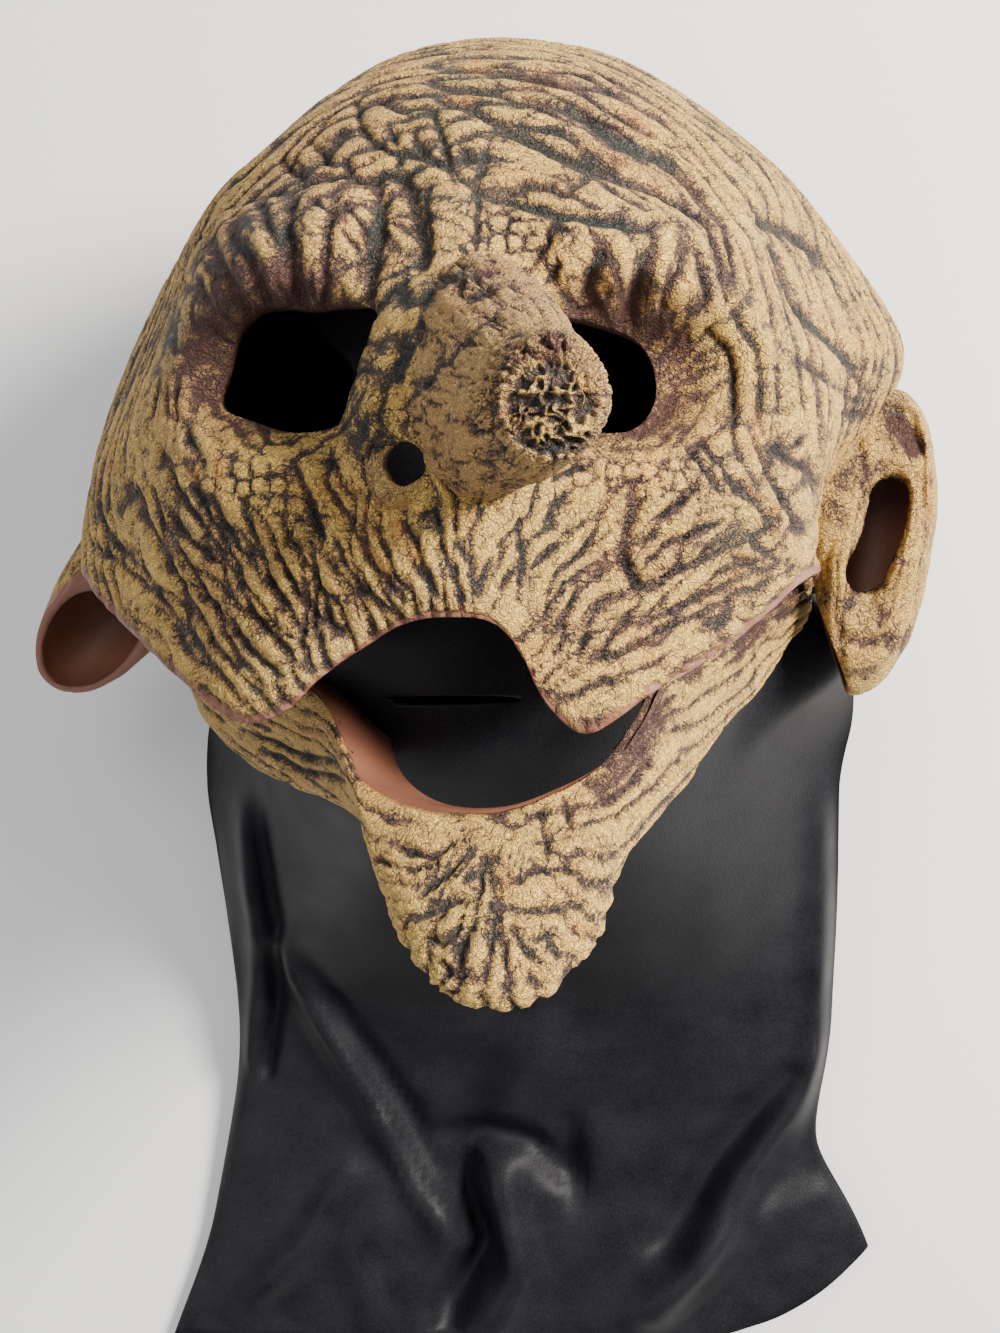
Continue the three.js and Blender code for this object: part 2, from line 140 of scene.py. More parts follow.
LEFT_EAR = {
    "centre": (-126, -31, 92), "half": (20, 49, 22), "lean": -38, "bowl": 0.1,
    "cut": (0, 0.55, -0.835), "behind": -112, "throat": (-108, -20, 92), "hollow": 0.14,
}

# The jaw
JAW_RIM = [
    (-106, -36, 98), (-97, -44, 118), (-78, -55, 142), (-58, -64, 160), (-46, -70, 172),
    (-37, -80, 186), (-27, -91, 200), (-8, -97, 214), (11, -97, 218), (23, -93, 213),
    (34, -87, 206), (42, -76, 194), (48, -64, 180), (62, -54, 158), (79, -43, 124), (90, -35, 100),
]
JAW_KEEL = [
    (-114, -50, 88), (-101, -76, 106), (-78, -91, 130), (-57, -97, 152), (-38, -101, 174),
    (-23, -110, 194), (-11, -130, 226), (4, -140, 239), (21, -140, 240), (34, -128, 229),
    (40, -110, 205), (53, -95, 176), (63, -80, 150), (75, -67, 126), (83, -55, 106), (90, -46, 90),
]
JAW_TUCK = {"arms": 14, "chin": 52}  # how far the band runs back under its keel
JAW_LINING = {"left": 26, "rest": 5}  # how far the sheet goes down inside its rim
JAW_RIM_AT = 0.25  # the rim's share of the way from the lining to the hem
JAW_FADE = 0.04  # the relief fades over this share at the rim and the ends
JAW_LENGTH = 330
JAW_DEEPEST = 2.2  # no crease goes deeper

# The hood
HOOD = [  # its rings: where, half the width, how peaked in front, and lowest, widest and highest level
    (102, 34, 1, 82, 115, 146), (84, 54, 1, 58, 112, 166), (58, 82, 1, 37, 108, 180),
    (18, 91, 1, 26, 104, 186), (-22, 88, 1.1, 26, 100, 186), (-56, 88, 1.5, 28, 88, 182),
    (-84, 105, 2.8, 33, 58, 170), (-104, 108, 2.9, 22, 50, 150), (-126, 109, 2.4, 7, 36, 116),
    (-150, 109, 1.8, 1, 24, 80), (-180, 108, 1.4, 0, 14, 44), (-220, 107, 1.1, 0, 8, 24),
    (-262, 112, 1, 0, 6, 15), (-306, 128, 1, 0, 5, 12),
]
HOOD_MIDDLE = -8
HEM = {"leftDip": 7, "rightRise": 38, "drift": -7}
EAR_CLOTH = {"at": -57, "reach": 25, "out": 21, "below": (90, 104)}  # it stands out below the right ear
CLOTH_EYES = [
    [(-75, 10), (-73, 22), (-67, 32), (-57, 36), (-47, 32), (-40, 24),
     (-34, 17), (-34, 10), (-40, 2), (-48, -1), (-62, 2)],
    [(21, 29), (35, 29), (45, 24), (48, 17), (48, 7), (43, -2), (34, -5), (22, -2), (16, 13)],
]
CLOTH_EYES_CUT = (130, 262)
MOUTH_SLIT = {"centre": (-10, -71), "half": (19, 1.25), "cut": (130, 230), "uneven": 0.5}
CLOTH_LIFT = 0.2
CLOTH_CLOSES = 0.05  # the share of the bag over which it closes at the crown
CLOTH_LOWEST = 2.6  # no fold of the front is pressed lower

# Folds of the neck cloth seen from above: the line, its half width and its height, which is
# taken times CLOTH_DEPTH
CLOTH_DEPTH = 1.8
CLOTH_FOLDS = [
    ([(-93, -160), (-76, -193), (-62, -217), (-46, -251), (-32, -269)], 6, 5),
    ([(-84, -168), (-66, -200), (-52, -224), (-40, -252)], 6, -4),
    ([(1, -183), (-14, -216)], 8, 4),
    ([(-36, -231), (-22, -228), (-5, -232), (4, -244)], 5, -5),
    ([(7, -224), (10, -253)], 5, -4),
    ([(-31, -240), (-30, -256), (-25, -272), (-37, -294), (-38, -302)], 6, -8),
    ([(-18, -246), (-14, -262), (-10, -280), (-20, -300)], 6, 5),
    ([(96, -201), (69, -239), (54, -273), (39, -291)], 8, 6),
    ([(84, -206), (58, -240), (42, -270)], 6, -4),
    ([(97, -110), (99, -150), (97, -200)], 7, 4),
    ([(-74, -247), (-88, -272), (-115, -300)], 7, 4),
    ([(-89, -103), (-92, -120), (-93, -155), (-104, -210)], 3.5, -4),
    ([(-99, -110), (-101, -150), (-110, -205)], 5, 4),
    ([(18, -300), (40, -282), (70, -262), (96, -250)], 9, 3),
    ([(-64, -300), (-70, -276), (-60, -254)], 8, 3),
]

# Creases of the face where the photograph shows them, in its pixels. Each kind has the half width
# in pixels and the depth in mm, then its lines.
FACE_CREASES = [
    (8, 4.4, [
        [(403, 180), (412, 200), (416, 225), (424, 242), (420, 262)],
        [(375, 180), (380, 205), (376, 232), (370, 265), (366, 296), (366, 314)],
        [(292, 200), (289, 225), (291, 260), (298, 290), (304, 312)],
        [(602, 250), (592, 275), (584, 296)], [(649, 250), (641, 280), (630, 312)],
    ]),
    (5.5, 2.8, [
        [(440, 98), (470, 105), (500, 122), (530, 138), (560, 150), (590, 162), (625, 176), (660, 188),
         (690, 208), (706, 222), (716, 250), (722, 280), (726, 300)],
        [(520, 98), (560, 105), (590, 118), (620, 138), (640, 148), (662, 158), (690, 180), (720, 222)],
        [(478, 192), (500, 196), (520, 202), (545, 212), (575, 218), (605, 225), (640, 232), (662, 226)],
        [(335, 198), (330, 225), (326, 255), (325, 290), (328, 316)],
        [(262, 205), (270, 225), (282, 250), (290, 275)],
        [(238, 218), (238, 240), (255, 262), (264, 284), (278, 310)],
        [(213, 225), (215, 250), (228, 275), (240, 296), (252, 314)],
        [(686, 245), (676, 275), (660, 300)],
        [(768, 445), (790, 455), (808, 466), (825, 490), (832, 508)],
        [(762, 220), (780, 226), (800, 236), (815, 252), (822, 266)],
        [(620, 545), (626, 565), (640, 588)], [(635, 480), (630, 515), (618, 555)],
    ]),
    (3.8, 1.9, [
        [(430, 66), (480, 67), (520, 74), (560, 82), (612, 89)], [(430, 83), (480, 88), (520, 98)],
        [(720, 222), (728, 250), (735, 290)], [(556, 225), (545, 248), (535, 264)],
        [(355, 104), (360, 125), (372, 142), (390, 150), (405, 153), (428, 157), (447, 166), (470, 186)],
        [(428, 104), (438, 122), (444, 142), (449, 165), (455, 182)], [(402, 150), (398, 168)],
        [(232, 205), (262, 198), (290, 190), (310, 181), (340, 173), (365, 177), (385, 173), (405, 171)],
        [(313, 145), (325, 160), (342, 162)], [(283, 160), (292, 172), (305, 178)],
        [(388, 128), (396, 141)], [(412, 130), (418, 148), (430, 156)], [(380, 101), (402, 107), (428, 106)],
        [(462, 145), (468, 158)], [(490, 140), (485, 162), (478, 180)], [(345, 160), (351, 177)],
        [(428, 186), (425, 205), (430, 228), (428, 250)], [(477, 190), (478, 215), (476, 250)],
        [(348, 210), (362, 225), (374, 242)],
        [(345, 235), (358, 250), (370, 268)], [(380, 222), (400, 222), (413, 236)],
        [(200, 240), (205, 262), (222, 285)],
        [(192, 262), (205, 290), (215, 305)], [(310, 200), (325, 208), (333, 221)],
        [(692, 250), (702, 280), (706, 310)],
        [(560, 262), (548, 282)], [(575, 312), (586, 310), (600, 301)], [(562, 195), (592, 172)],
        [(705, 330), (722, 345), (732, 370), (730, 400), (735, 430), (745, 460), (754, 484)],
        [(730, 310), (742, 330), (758, 350), (762, 380), (760, 410), (765, 432)],
        [(750, 420), (757, 440), (765, 460), (780, 490), (795, 520), (805, 535)],
        [(800, 360), (820, 370), (835, 385), (862, 402)], [(845, 415), (868, 416)],
        [(770, 245), (785, 280), (800, 310), (825, 335), (850, 360), (872, 396)],
        [(752, 540), (765, 550), (782, 561)], [(735, 558), (750, 568), (763, 572)],
        [(140, 500), (150, 530), (165, 560), (180, 590), (200, 620), (215, 645), (235, 670)],
        [(150, 488), (160, 520), (180, 555), (195, 580), (215, 610), (225, 640), (245, 665), (262, 686)],
        [(160, 500), (175, 530), (200, 550), (222, 570), (229, 590)],
        [(172, 480), (185, 505), (205, 535), (226, 560)], [(190, 485), (205, 515), (225, 545), (240, 572)],
        [(215, 515), (235, 545), (248, 562)], [(240, 500), (250, 530), (262, 550)],
        [(240, 585), (250, 610), (268, 630), (288, 650), (306, 672)], [(260, 550), (270, 580), (300, 625)],
        [(275, 555), (290, 580), (302, 602)], [(225, 610), (240, 640), (262, 660), (282, 677)],
        [(302, 560), (305, 600), (302, 640), (313, 670)], [(311, 540), (316, 580), (312, 620), (331, 672)],
        [(320, 590), (330, 620), (345, 640)], [(335, 540), (345, 570), (360, 590), (385, 610), (402, 620)],
        [(352, 530), (366, 560), (390, 585), (402, 600)], [(100, 520), (115, 545), (137, 566)],
        [(90, 545), (120, 565), (150, 590), (175, 620), (207, 652)], [(180, 600), (192, 640), (231, 690)],
        [(330, 450), (325, 480), (340, 510), (353, 522)], [(290, 460), (300, 480), (310, 500), (320, 531)],
        [(408, 558), (425, 580), (441, 600)], [(455, 545), (470, 562), (475, 590)], [(441, 545), (462, 600)],
        [(491, 560), (481, 580), (478, 600)], [(511, 568), (500, 592)], [(519, 520), (524, 560), (519, 600)],
        [(540, 566), (552, 551), (567, 540)], [(550, 591), (559, 572), (576, 560), (590, 540), (601, 514)],
        [(542, 636), (552, 605), (566, 585), (588, 568), (607, 555)],
        [(560, 651), (563, 620), (578, 595), (601, 575)], [(578, 661), (586, 630), (608, 594)],
        [(591, 661), (610, 640), (630, 615), (641, 599)], [(644, 566), (665, 546), (690, 536), (722, 524)],
        [(650, 591), (680, 572), (710, 561), (742, 544)], [(640, 626), (680, 606), (720, 591), (792, 559)],
        [(619, 656), (660, 631), (690, 621), (722, 604)], [(649, 521), (665, 516), (696, 489)],
        [(611, 491), (625, 481), (641, 478)], [(553, 481), (575, 470), (592, 464)],
        [(690, 449), (710, 470), (721, 492)], [(700, 439), (722, 462), (736, 491)],
        [(542, 691), (560, 698), (585, 693), (602, 679)], [(738, 484), (748, 497), (761, 506), (769, 520)],
    ]),
]
NOSE_CREASES = [
    (8, 1.5, [
        [(402, 336), (405, 352), (396, 372), (379, 387)], [(366, 419), (356, 447)],
        [(377, 440), (366, 456), (367, 476), (380, 492)],
    ]),
    (5, 1.5, [
        [(420, 300), (440, 283), (470, 263)], [(452, 292), (462, 275), (492, 270)], [(470, 300), (496, 286)],
        [(384, 446), (374, 462), (374, 478), (388, 490)],
    ]),
    (3, 0.9, [
        [(500, 309), (460, 345), (430, 380), (401, 410)], [(420, 318), (424, 332)], [(455, 345), (480, 342)],
        [(512, 330), (524, 337)], [(468, 420), (478, 436)], [(482, 462), (500, 470)],
    ]),
]
JAW_CREASES = [
    (5, 2.6, [
        [(428, 912), (445, 901), (464, 897)], [(505, 905), (520, 910), (550, 908), (581, 905)],
        [(512, 925), (525, 945), (546, 966)], [(600, 790), (612, 800), (634, 785), (650, 765)],
    ]),
    (3.4, 2.2, [
        [(489, 848), (492, 880), (496, 910), (492, 940), (485, 982)], [(485, 850), (480, 880), (478, 901)],
        [(475, 920), (462, 945), (456, 982)], [(470, 850), (450, 870), (430, 886), (419, 896)],
        [(460, 925), (440, 945), (427, 937)], [(500, 860), (515, 880), (540, 866), (576, 871)],
        [(500, 930), (505, 960), (509, 986)], [(535, 941), (550, 935), (561, 961)],
        [(540, 811), (546, 840), (549, 857)], [(565, 800), (571, 826)], [(400, 845), (430, 856), (456, 840)],
        [(404, 871), (436, 861)], [(585, 821), (620, 815), (652, 791), (682, 759)],
        [(578, 868), (590, 885), (612, 880)], [(440, 960), (449, 978)], [(530, 975), (541, 990)],
        [(240, 730), (290, 752), (340, 765)], [(260, 750), (300, 772), (352, 782)],
    ]),
]
EAR_CREASES = [
    (5, 1.4, [
        [(838, 640), (858, 645), (886, 636)], [(858, 588), (842, 620), (838, 655)],
        [(858, 440), (866, 470), (862, 510)],
    ]),
]
CREASE_JITTER = 4  # how far a traced line wanders, in pixels

# The forms of the right ear's front, as lines with their half widths in pixels and heights in mm
EAR_FORMS = [
    ([(848, 438), (870, 410), (900, 396), (922, 410), (934, 455), (932, 505)], 8, 3.0),  # its rim
    ([(896, 424), (906, 433), (914, 448)], 10, -1.6),  # the dip at its top
    ([(890, 497), (884, 530), (866, 572)], 18, -9.0),  # the bowl
    ([(880, 655), (850, 668)], 9, 2.5),  # the lobe
]

# Dabs of colour, in the same pixels
BRUSH = 7  # half width of a dab
TEAL_DABS = [
    [(278, 215), (280, 245)], [(379, 200), (373, 255)], [(560, 105), (640, 148), (700, 172)],
    [(641, 250), (632, 300)], [(600, 255), (588, 290)], [(805, 480), (830, 515)], [(455, 565), (475, 590)],
    [(425, 578), (440, 597)], [(180, 625), (205, 652)], [(238, 590), (235, 560)], [(800, 310), (850, 360)],
    [(480, 192), (560, 215), (640, 235)], [(740, 120), (790, 170)], [(660, 445), (625, 452)],
    [(402, 336), (396, 372), (379, 387)], [(366, 419), (356, 447)], [(420, 300), (470, 263)],
    [(580, 810), (620, 835)], [(545, 935), (560, 955)],
]
ORANGE_DABS = [
    [(397, 518), (400, 540)], [(412, 550), (414, 560)], [(448, 92), (472, 96)], [(466, 62), (490, 64)],
    [(625, 110), (652, 132)], [(603, 150), (632, 166)], [(756, 400), (758, 430), (753, 452)],
    [(215, 455), (222, 480)], [(190, 465), (196, 480)], [(502, 870), (512, 892)], [(575, 925), (590, 932)],
    [(365, 545), (385, 575)], [(876, 640), (862, 650)],
]

# The raised tear at the cheek's corner, the cobbled skin, and the nose's disc and pock marks
CHEEK_TEAR = [[(745, 481), (755, 492), (768, 500), (777, 515), (776, 536)]]
TEAR_HALF = 4.5
TEAR_RISE = 1.6
COBBLED = [
    [(205, 470), (250, 480), (290, 500)], [(570, 470), (640, 480), (700, 470)], [(480, 215), (520, 240)],
]
COBBLED_HALF = 26
COBBLE = {"size": 17, "rise": 1.2}
NOSE_TIP = {"at": (550, 408), "half": (46, 51), "edge": (0.88, 1.08), "rim": 0.1, "pit": 12.5}
NOSE_BLUSH = {"off": (10, 30), "reach": 62}  # its middle is left of the tip and above it
NOSE_POCKS = [
    [(500, 350), (485, 400), (500, 450)], [(515, 345), (560, 345)], [(460, 290), (480, 280)],
]
POCKED_HALF = 13
POCK = 10

# Folds that noise makes are stated by their length, width and depth. Those that fan out also
# have a middle, and the distance from it at which they are as wide as stated.
HEAD_RINGS = {"middle": (0, 10), "level": 230, "distance": 85, "folds": (48, 6.8, 1.3)}
BROW_RAYS = [((-43, 8), 30, (16, 6.6, 0.8)), ((42, 6), 30, (16, 6.0, 0.8))]
BAG_RINGS = [(28, (18, 4.5, 0.9)), (26, (18, 4.2, 0.9))]
CHEEK_RAYS = [((2, -108), 78, (24, 5.4, 1.9)), ((-24, -98), 84, (24, 5.6, 1.5))]
CHIN_RAYS = ((11, -102), 22, (14, 4, 1.6))
JAW_FOLDS = (36, 3.6, 0.9)

# Round each eye: its middle, how wide it is for its height, and how far the part above it, the
# fan of the brow and the bag below it reach, each with where it starts and stops to fade
EYE_SIDES = [
    {"middle": (-43, 12), "wide": 1.15, "lean": 0.12, "above": (2, 16), "brow": (34, 48), "bag": (20, 28)},
    {"middle": (38, 8), "wide": 1.05, "lean": -0.12, "above": (-2, 12), "brow": (32, 46), "bag": (18, 26)},
]
LOW_FACE = {"above": (-8, 14), "middle": -4, "side": (84, 108), "level": (90, 140), "parting": (0, 16)}

# Other parts of the face, as patches with a middle and a half size, and where they fade
SOCKETS = [((-47, 17), (23, 15.5)), ((39, 10), (17, 15))]
SOCKET_FADES = (1.0, 1.75)
SOCKET_TO_NOSE = (-27, -19)
BROWS = [((-43, 40), (30, 15)), ((44, 36), (28, 14))]
GLABELLA = ((1, 44), (6.5, 9))
GLABELLA_LEVELS = (180, 200)
FRONT_LEVELS = (150, 190)
STRONG_LEVELS = (60, 150)
CALM_PART = ((16, 66), (-30, 40), (70, 130))  # the right temple, where brushing hides the folds
BROW_RISE = 2.2
GLABELLA_RISE = 1.2

# How much each thing lightens or darkens the paint
SKIN_TONE = {"patches": 0.3, "calm": 0.35, "near": 0.2, "dark": 0.95, "socket": 0.4}
# Painted shade on the crown and the upper left, and painted light on the low face: how strong, and between
# which heights or sides it fades in
SKIN_PAINTED_SHADING = {"crown": (0.1, 50, 95), "left": (0.15, -85, -20), "low": (0.2, -15, 5)}
NOSE_TONE = {"folds": (0.08, 0.35, 0.45), "disc": (0.18, 0.65), "pock": 0.6, "dark": 0.85, "rim": 0.6}
# For the ear, deep darkens its bowl and the dip at its top as painted shade
EAR_TONE = {"folds": (0.4, 0.35, 0.3), "patches": 0.28, "deep": 0.8, "dark": 0.5}
JAW_TONE = {"least": 0.25, "near": 0.4, "dark": 0.9, "browner": 0.6}

# Length and width of the other folds, and how high they stand
NOSE_FOLDS = {"large": (26, 6), "small": (8, 1.9), "rise": (0.8, 0.7), "lumps": 1.2}
DISC = {"wall": 0.7, "pit": 1.5, "rim": 0.4, "pock": 1.2}
WING_FOLDS = {"large": (14, 3.4), "rise": 0.8}
EAR_FOLDS = {"large": (26, 6.5), "small": (9, 2.6), "rise": 0.6, "lumps": 0.9}
SKIN_LUMPS = 1.0
JAW_LUMPS = 0.8
WEB_LUMPS = 0.9
CLOTH_LUMPS = ((34, 5, 91), (12, 1.2, 92))  # their size, height and pattern

# Colours of the paint, of what shows where it ends, and of the cloth
CREAM = (0.88, 0.545, 0.130)
PALE = (0.66, 0.415, 0.115)
TAN = (0.42, 0.25, 0.075)
BROWN = (0.23, 0.130, 0.062)
VALLEY = (0.095, 0.054, 0.040)
UMBER = (0.014, 0.010, 0.009)
OCHRE = (0.42, 0.245, 0.10)
OXBLOOD = (0.092, 0.040, 0.030)
TEAL = (0.044, 0.052, 0.042)
ORANGE = (0.58, 0.22, 0.055)
RAW_LATEX = (0.215, 0.088, 0.054)
RAW_DARK = tuple(0.8 * channel for channel in RAW_LATEX)
RAW_LIGHT = tuple(1.15 * channel for channel in RAW_LATEX)
CLOTH_DARK = (0.006, 0.006, 0.008)
CLOTH_WORN = (0.017, 0.017, 0.020)

# The colours that brushing leaves, from the bottom of a fold to its top; the dark at the bottom is also
# painted shade
BRUSHED = [
    (0.22, UMBER), (0.33, VALLEY), (0.46, VALLEY), (0.53, BROWN), (0.61, TAN), (0.74, PALE), (1.0, CREAM),
]
SPONGE = 1150.0  # scales of the patterns in the paint: the higher, the finer
WORMS = ((520.0, 0.05), (1200.0, 0.07))  # winding lines, with how wide they are
CRACKS = (240.0, 0.04)
CLOUDS = 45.0
STREAKS = 150.0
FLUSHES = 60.0
GRAIN_HEIGHT = 0.0011  # heights of the bump in metres
KNIT = 2400.0
KNIT_HEIGHT = 0.00018

# The studio: each light's place and target in metres, its size, power and colour
LIGHTS = {
    "key": ((0.92, 0.32, 0.92), (0, -0.03, 0.12), 0.45, 56, (1, 0.95, 0.88)),
    "fill": ((-0.9, -0.4, 1.0), (0, -0.05, 0.12), 1.2, 5.5, (0.95, 0.97, 1)),
    "top": ((0.0, 0.5, 1.5), (0, -0.05, 0.1), 0.7, 5.5, (1, 1, 1)),
}
SKY = {"colour": (0.9, 0.92, 0.95, 1), "strength": 0.42}
FLOOR = {"half": 3, "colour": (0.86, 0.855, 0.85, 1), "rough": 0.7}


def smoothstep(value, low, high):
    t = np.clip((value - low) / (high - low), 0, 1)
    return t * t * (3 - 2 * t)


def mix(a, b, t):
    return a + (b - a) * t


def columns(*values):
    return np.stack(np.broadcast_arrays(*values), axis=-1).astype(float)


# Repeatable numbers from 0 to 1, one for each whole-numbered cell.
def cell_numbers(cells, salt):
    primes = np.array([374761393, 668265263, 2147483647])[: cells.shape[-1]]
    mixed = (cells.astype(np.int64) * primes).sum(-1) + salt * 362437
    mixed = (mixed ^ (mixed >> 13)) * 1274126177
    mixed = (mixed ^ (mixed >> 16)) * 668265263
    return ((mixed ^ (mixed >> 15)) & 0xFFFFF) / 0xFFFFF


# Smooth noise from 0 to 1 in two or three dimensions.
def noise(points, salt):
    base = np.floor(points).astype(np.int64)
    t = points - base
    t = t * t * (3 - 2 * t)
    total = np.zeros(len(points))
    for corner in range(2 ** points.shape[1]):
        offset = np.array([(corner >> axis) & 1 for axis in range(points.shape[1])])
        share = np.where(offset, t, 1 - t).prod(-1)
        total += share * cell_numbers(base + offset, salt)
    return total


# Noise from about -1 to 1 that lets lines on a plane wander without corners.
def wander(u, v, salt):
    points = columns(u, v)
    base = np.floor(points).astype(np.int64)
    t = points - base
    ease = t**3 * (t * (t * 6 - 15) + 10)
    total = np.zeros(len(points))
    for offset in ((0, 0), (1, 0), (0, 1), (1, 1)):
        turn = 2 * np.pi * cell_numbers(base + offset, salt)
        slope = columns(np.cos(turn), np.sin(turn))
        share = np.where(offset, ease, 1 - ease).prod(-1)
        total += share * ((t - offset) * slope).sum(-1)
    return 1.5 * total


# Distances to the nearest and second nearest of scattered points, and the nearest one's number.
def scattered(points, salt):
    base = np.floor(points).astype(np.int64)
    first = np.full(len(points), 9.0)
    second = np.full(len(points), 9.0)
    tag = np.zeros(len(points))
    for dx in (-1, 0, 1):
        for dy in (-1, 0, 1):
            cell = base + (dx, dy)
            place = cell + 0.08 + 0.84 * columns(cell_numbers(cell, salt), cell_numbers(cell, salt + 1))
            away = np.hypot(*(points - place).T)
            nearer = away < first
            second = np.where(nearer, first, np.minimum(second, away))
            tag = np.where(nearer, cell_numbers(cell, salt + 2), tag)
            first = np.where(nearer, away, first)
    return first, second, tag


# A bulge from 0 to 1 that starts steeply and ends level.
def plump(t):
    t = np.clip(t, 0, 1)
    return t * (2 - t)


# Small cobbles: 0 in the grooves between them and 1 on top.
def cobbles(u, v, size, salt):
    first, second, _ = scattered(columns(u / size, v / size), salt)
    return plump((second - first) / 0.5)


# Folds that run along u: plump between creases that wander, break off and are cut across.
def ropes(u, v, length, width, salt):
    phase = v / width + 0.8 * wander(u / length, v / (3 * width), salt)
    phase += 0.3 * wander(3 * u / length, v / width, salt + 1)
    row = np.floor(phase)
    gap = 2 * np.minimum(phase - row, row + 1 - phase)
    held = noise(columns(1.6 * u / length, 5.3 * np.round(phase)), salt + 2)
    folds = 1 - smoothstep(held, 0.12, 0.4) * (1 - plump(gap / 0.8))
    shift = 0.25 * wander(v / width, u / length, salt + 4)
    place = u / length + 7 * cell_numbers(columns(row), salt + 3) + shift
    cut = np.abs(place - np.round(place)) * length / (0.32 * width)
    return folds * (1 - 0.6 * smoothstep(gap, 0.05, 0.4) * (1 - plump(cut)))


# A centripetal Catmull-Rom curve through points, even in its control points, at each t.
def curve(points, t):
    points = np.asarray(points, float)
    if points.ndim == 2:
        points = np.repeat(points[:, None], len(t), axis=1)
    last = len(points) - 1
    place = np.clip(t, 0, 1) * last
    start = np.minimum(place.astype(int), last - 1)
    w = (place - start)[:, None]
    ends = [2 * points[0] - points[1], *points, 2 * points[-1] - points[-2]]
    padded = np.stack(ends)
    pick = np.arange(len(t))
    p0, p1, p2, p3 = (padded[start + k, pick] for k in range(4))
    chords = [np.linalg.norm(b - a, axis=1) for a, b in ((p0, p1), (p1, p2), (p2, p3))]
    d0, d1, d2 = (np.sqrt(chord)[:, None] for chord in chords)
    tangent1 = ((p1 - p0) / d0 - (p2 - p0) / (d0 + d1) + (p2 - p1) / d1) * d1
    tangent2 = ((p2 - p1) / d1 - (p3 - p1) / (d1 + d2) + (p3 - p2) / d2) * d1
    square = -3 * p1 + 3 * p2 - 2 * tangent1 - tangent2
    cube = 2 * p1 - 2 * p2 + tangent1 + tangent2
    return p1 + tangent1 * w + square * w**2 + cube * w**3


def new_piece(name, bm):
    mesh = bpy.data.meshes.new(name)
    bm.to_mesh(mesh)
    bm.free()
    piece = bpy.data.objects.new(name, mesh)
    bpy.context.scene.collection.objects.link(piece)
    return piece


def points_of(piece):
    flat = np.zeros(len(piece.data.vertices) * 3, np.float32)
    piece.data.vertices.foreach_get("co", flat)
    return flat.reshape(-1, 3).astype(float)


def set_points(piece, points):
    piece.data.vertices.foreach_set("co", points.astype(np.float32).ravel())
    piece.data.update()


def normals_of(piece):
    flat = np.zeros(len(piece.data.vertices) * 3, np.float32)
    piece.data.vertex_normals.foreach_get("vector", flat)
    return flat.reshape(-1, 3).astype(float)


def face_outwards(piece):
    bm = bmesh.new()
    bm.from_mesh(piece.data)
    bmesh.ops.recalc_face_normals(bm, faces=bm.faces)
    bm.to_mesh(piece.data)
    bm.free()


# Replaces a piece's mesh by what its modifiers make of it.
def settle(piece):
    shown = piece.evaluated_get(bpy.context.evaluated_depsgraph_get())
    made = bpy.data.meshes.new_from_object(shown)
    piece.modifiers.clear()
    piece.data = made


# Gives a sheet its thickness, on its inner side.
def thicken(piece, thickness):
    wall = piece.modifiers.new("wall", "SOLIDIFY")
    wall.thickness = thickness
    wall.offset = -1
    settle(piece)
    face_outwards(piece)


# Puts a piece's points in place, moves them out along its normals and returns them.
def raise_points(piece, points, height):
    set_points(piece, points)
    placed = points + normals_of(piece) * np.reshape(height, (-1, 1))
    set_points(piece, placed)
    return placed


# Joins tools to a piece or cuts them from it, one after the other.
def combine(piece, operation, *tools):
    for tool in tools:
        before = len(piece.data.vertices)
        modifier = piece.modifiers.new(tool.name, "BOOLEAN")
        modifier.operation = operation
        modifier.solver = "MANIFOLD"
        modifier.object = tool
        settle(piece)
        print("combined", piece.name, operation, tool.name, before, len(piece.data.vertices))
    for tool in tools:
        bpy.data.objects.remove(tool)


# Keeps the largest connected part of a piece, so that no crumb of a cut stays behind.
def drop_crumbs(piece):
    bm = bmesh.new()
    bm.from_mesh(piece.data)
    waiting = set(bm.verts)
    parts = []
    while waiting:
        part = []
        front = [waiting.pop()]
        while front:
            vert = front.pop()
            part.append(vert)
            others = [edge.other_vert(vert) for edge in vert.link_edges]
            fresh = waiting.intersection(others)
            waiting -= fresh
            front.extend(fresh)
        parts.append(part)
    parts.sort(key=len)
    for crumb in parts[:-1]:
        bmesh.ops.delete(bm, geom=crumb, context="VERTS")
    bm.to_mesh(piece.data)
    bm.free()


# Cuts away what lies behind a plane and closes the cut.
def trim(piece, normal, offset):
    bm = bmesh.new()
    bm.from_mesh(piece.data)
    direction = Vector(normal).normalized()
    everything = bm.verts[:] + bm.edges[:] + bm.faces[:]
    cut = bmesh.ops.bisect_plane(
        bm, geom=everything, plane_co=direction * offset, plane_no=direction, clear_inner=True
    )
    rim = [e for e in cut["geom_cut"] if isinstance(e, bmesh.types.BMEdge)]
    bmesh.ops.holes_fill(bm, edges=rim, sides=0)
    bmesh.ops.triangulate(bm, faces=[f for f in bm.faces if len(f.verts) > 4])
    bm.to_mesh(piece.data)
    bm.free()


# Names a piece, turns it to metres and hides the nodes of the imported model that it stands for.
def finished(piece, name, nodes, material):
    drop_crumbs(piece)
    piece.name = piece.data.name = name
    piece.data.transform(Matrix.Scale(MM, 4))
    piece.data.materials.clear()
    piece.data.materials.append(material)
    piece.data.polygons.foreach_set("use_smooth", np.ones(len(piece.data.polygons), bool))
    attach(piece, "root")
    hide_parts(*nodes)
    return piece


# A closed ball with even squares, its points on the unit sphere.
def even_ball(name, cuts):
    bm = bmesh.new()
    bmesh.ops.create_cube(bm, size=2)
    bmesh.ops.subdivide_edges(bm, edges=bm.edges, cuts=cuts, use_grid_fill=True)
    ball = new_piece(name, bm)
    warped = np.tan(points_of(ball) * math.pi / 4)
    set_points(ball, warped / np.linalg.norm(warped, axis=1, keepdims=True))
    return ball


def round_ball(name, grid):
    bm = bmesh.new()
    bmesh.ops.create_uvsphere(bm, u_segments=grid[0], v_segments=grid[1], radius=1)
    return new_piece(name, bm)


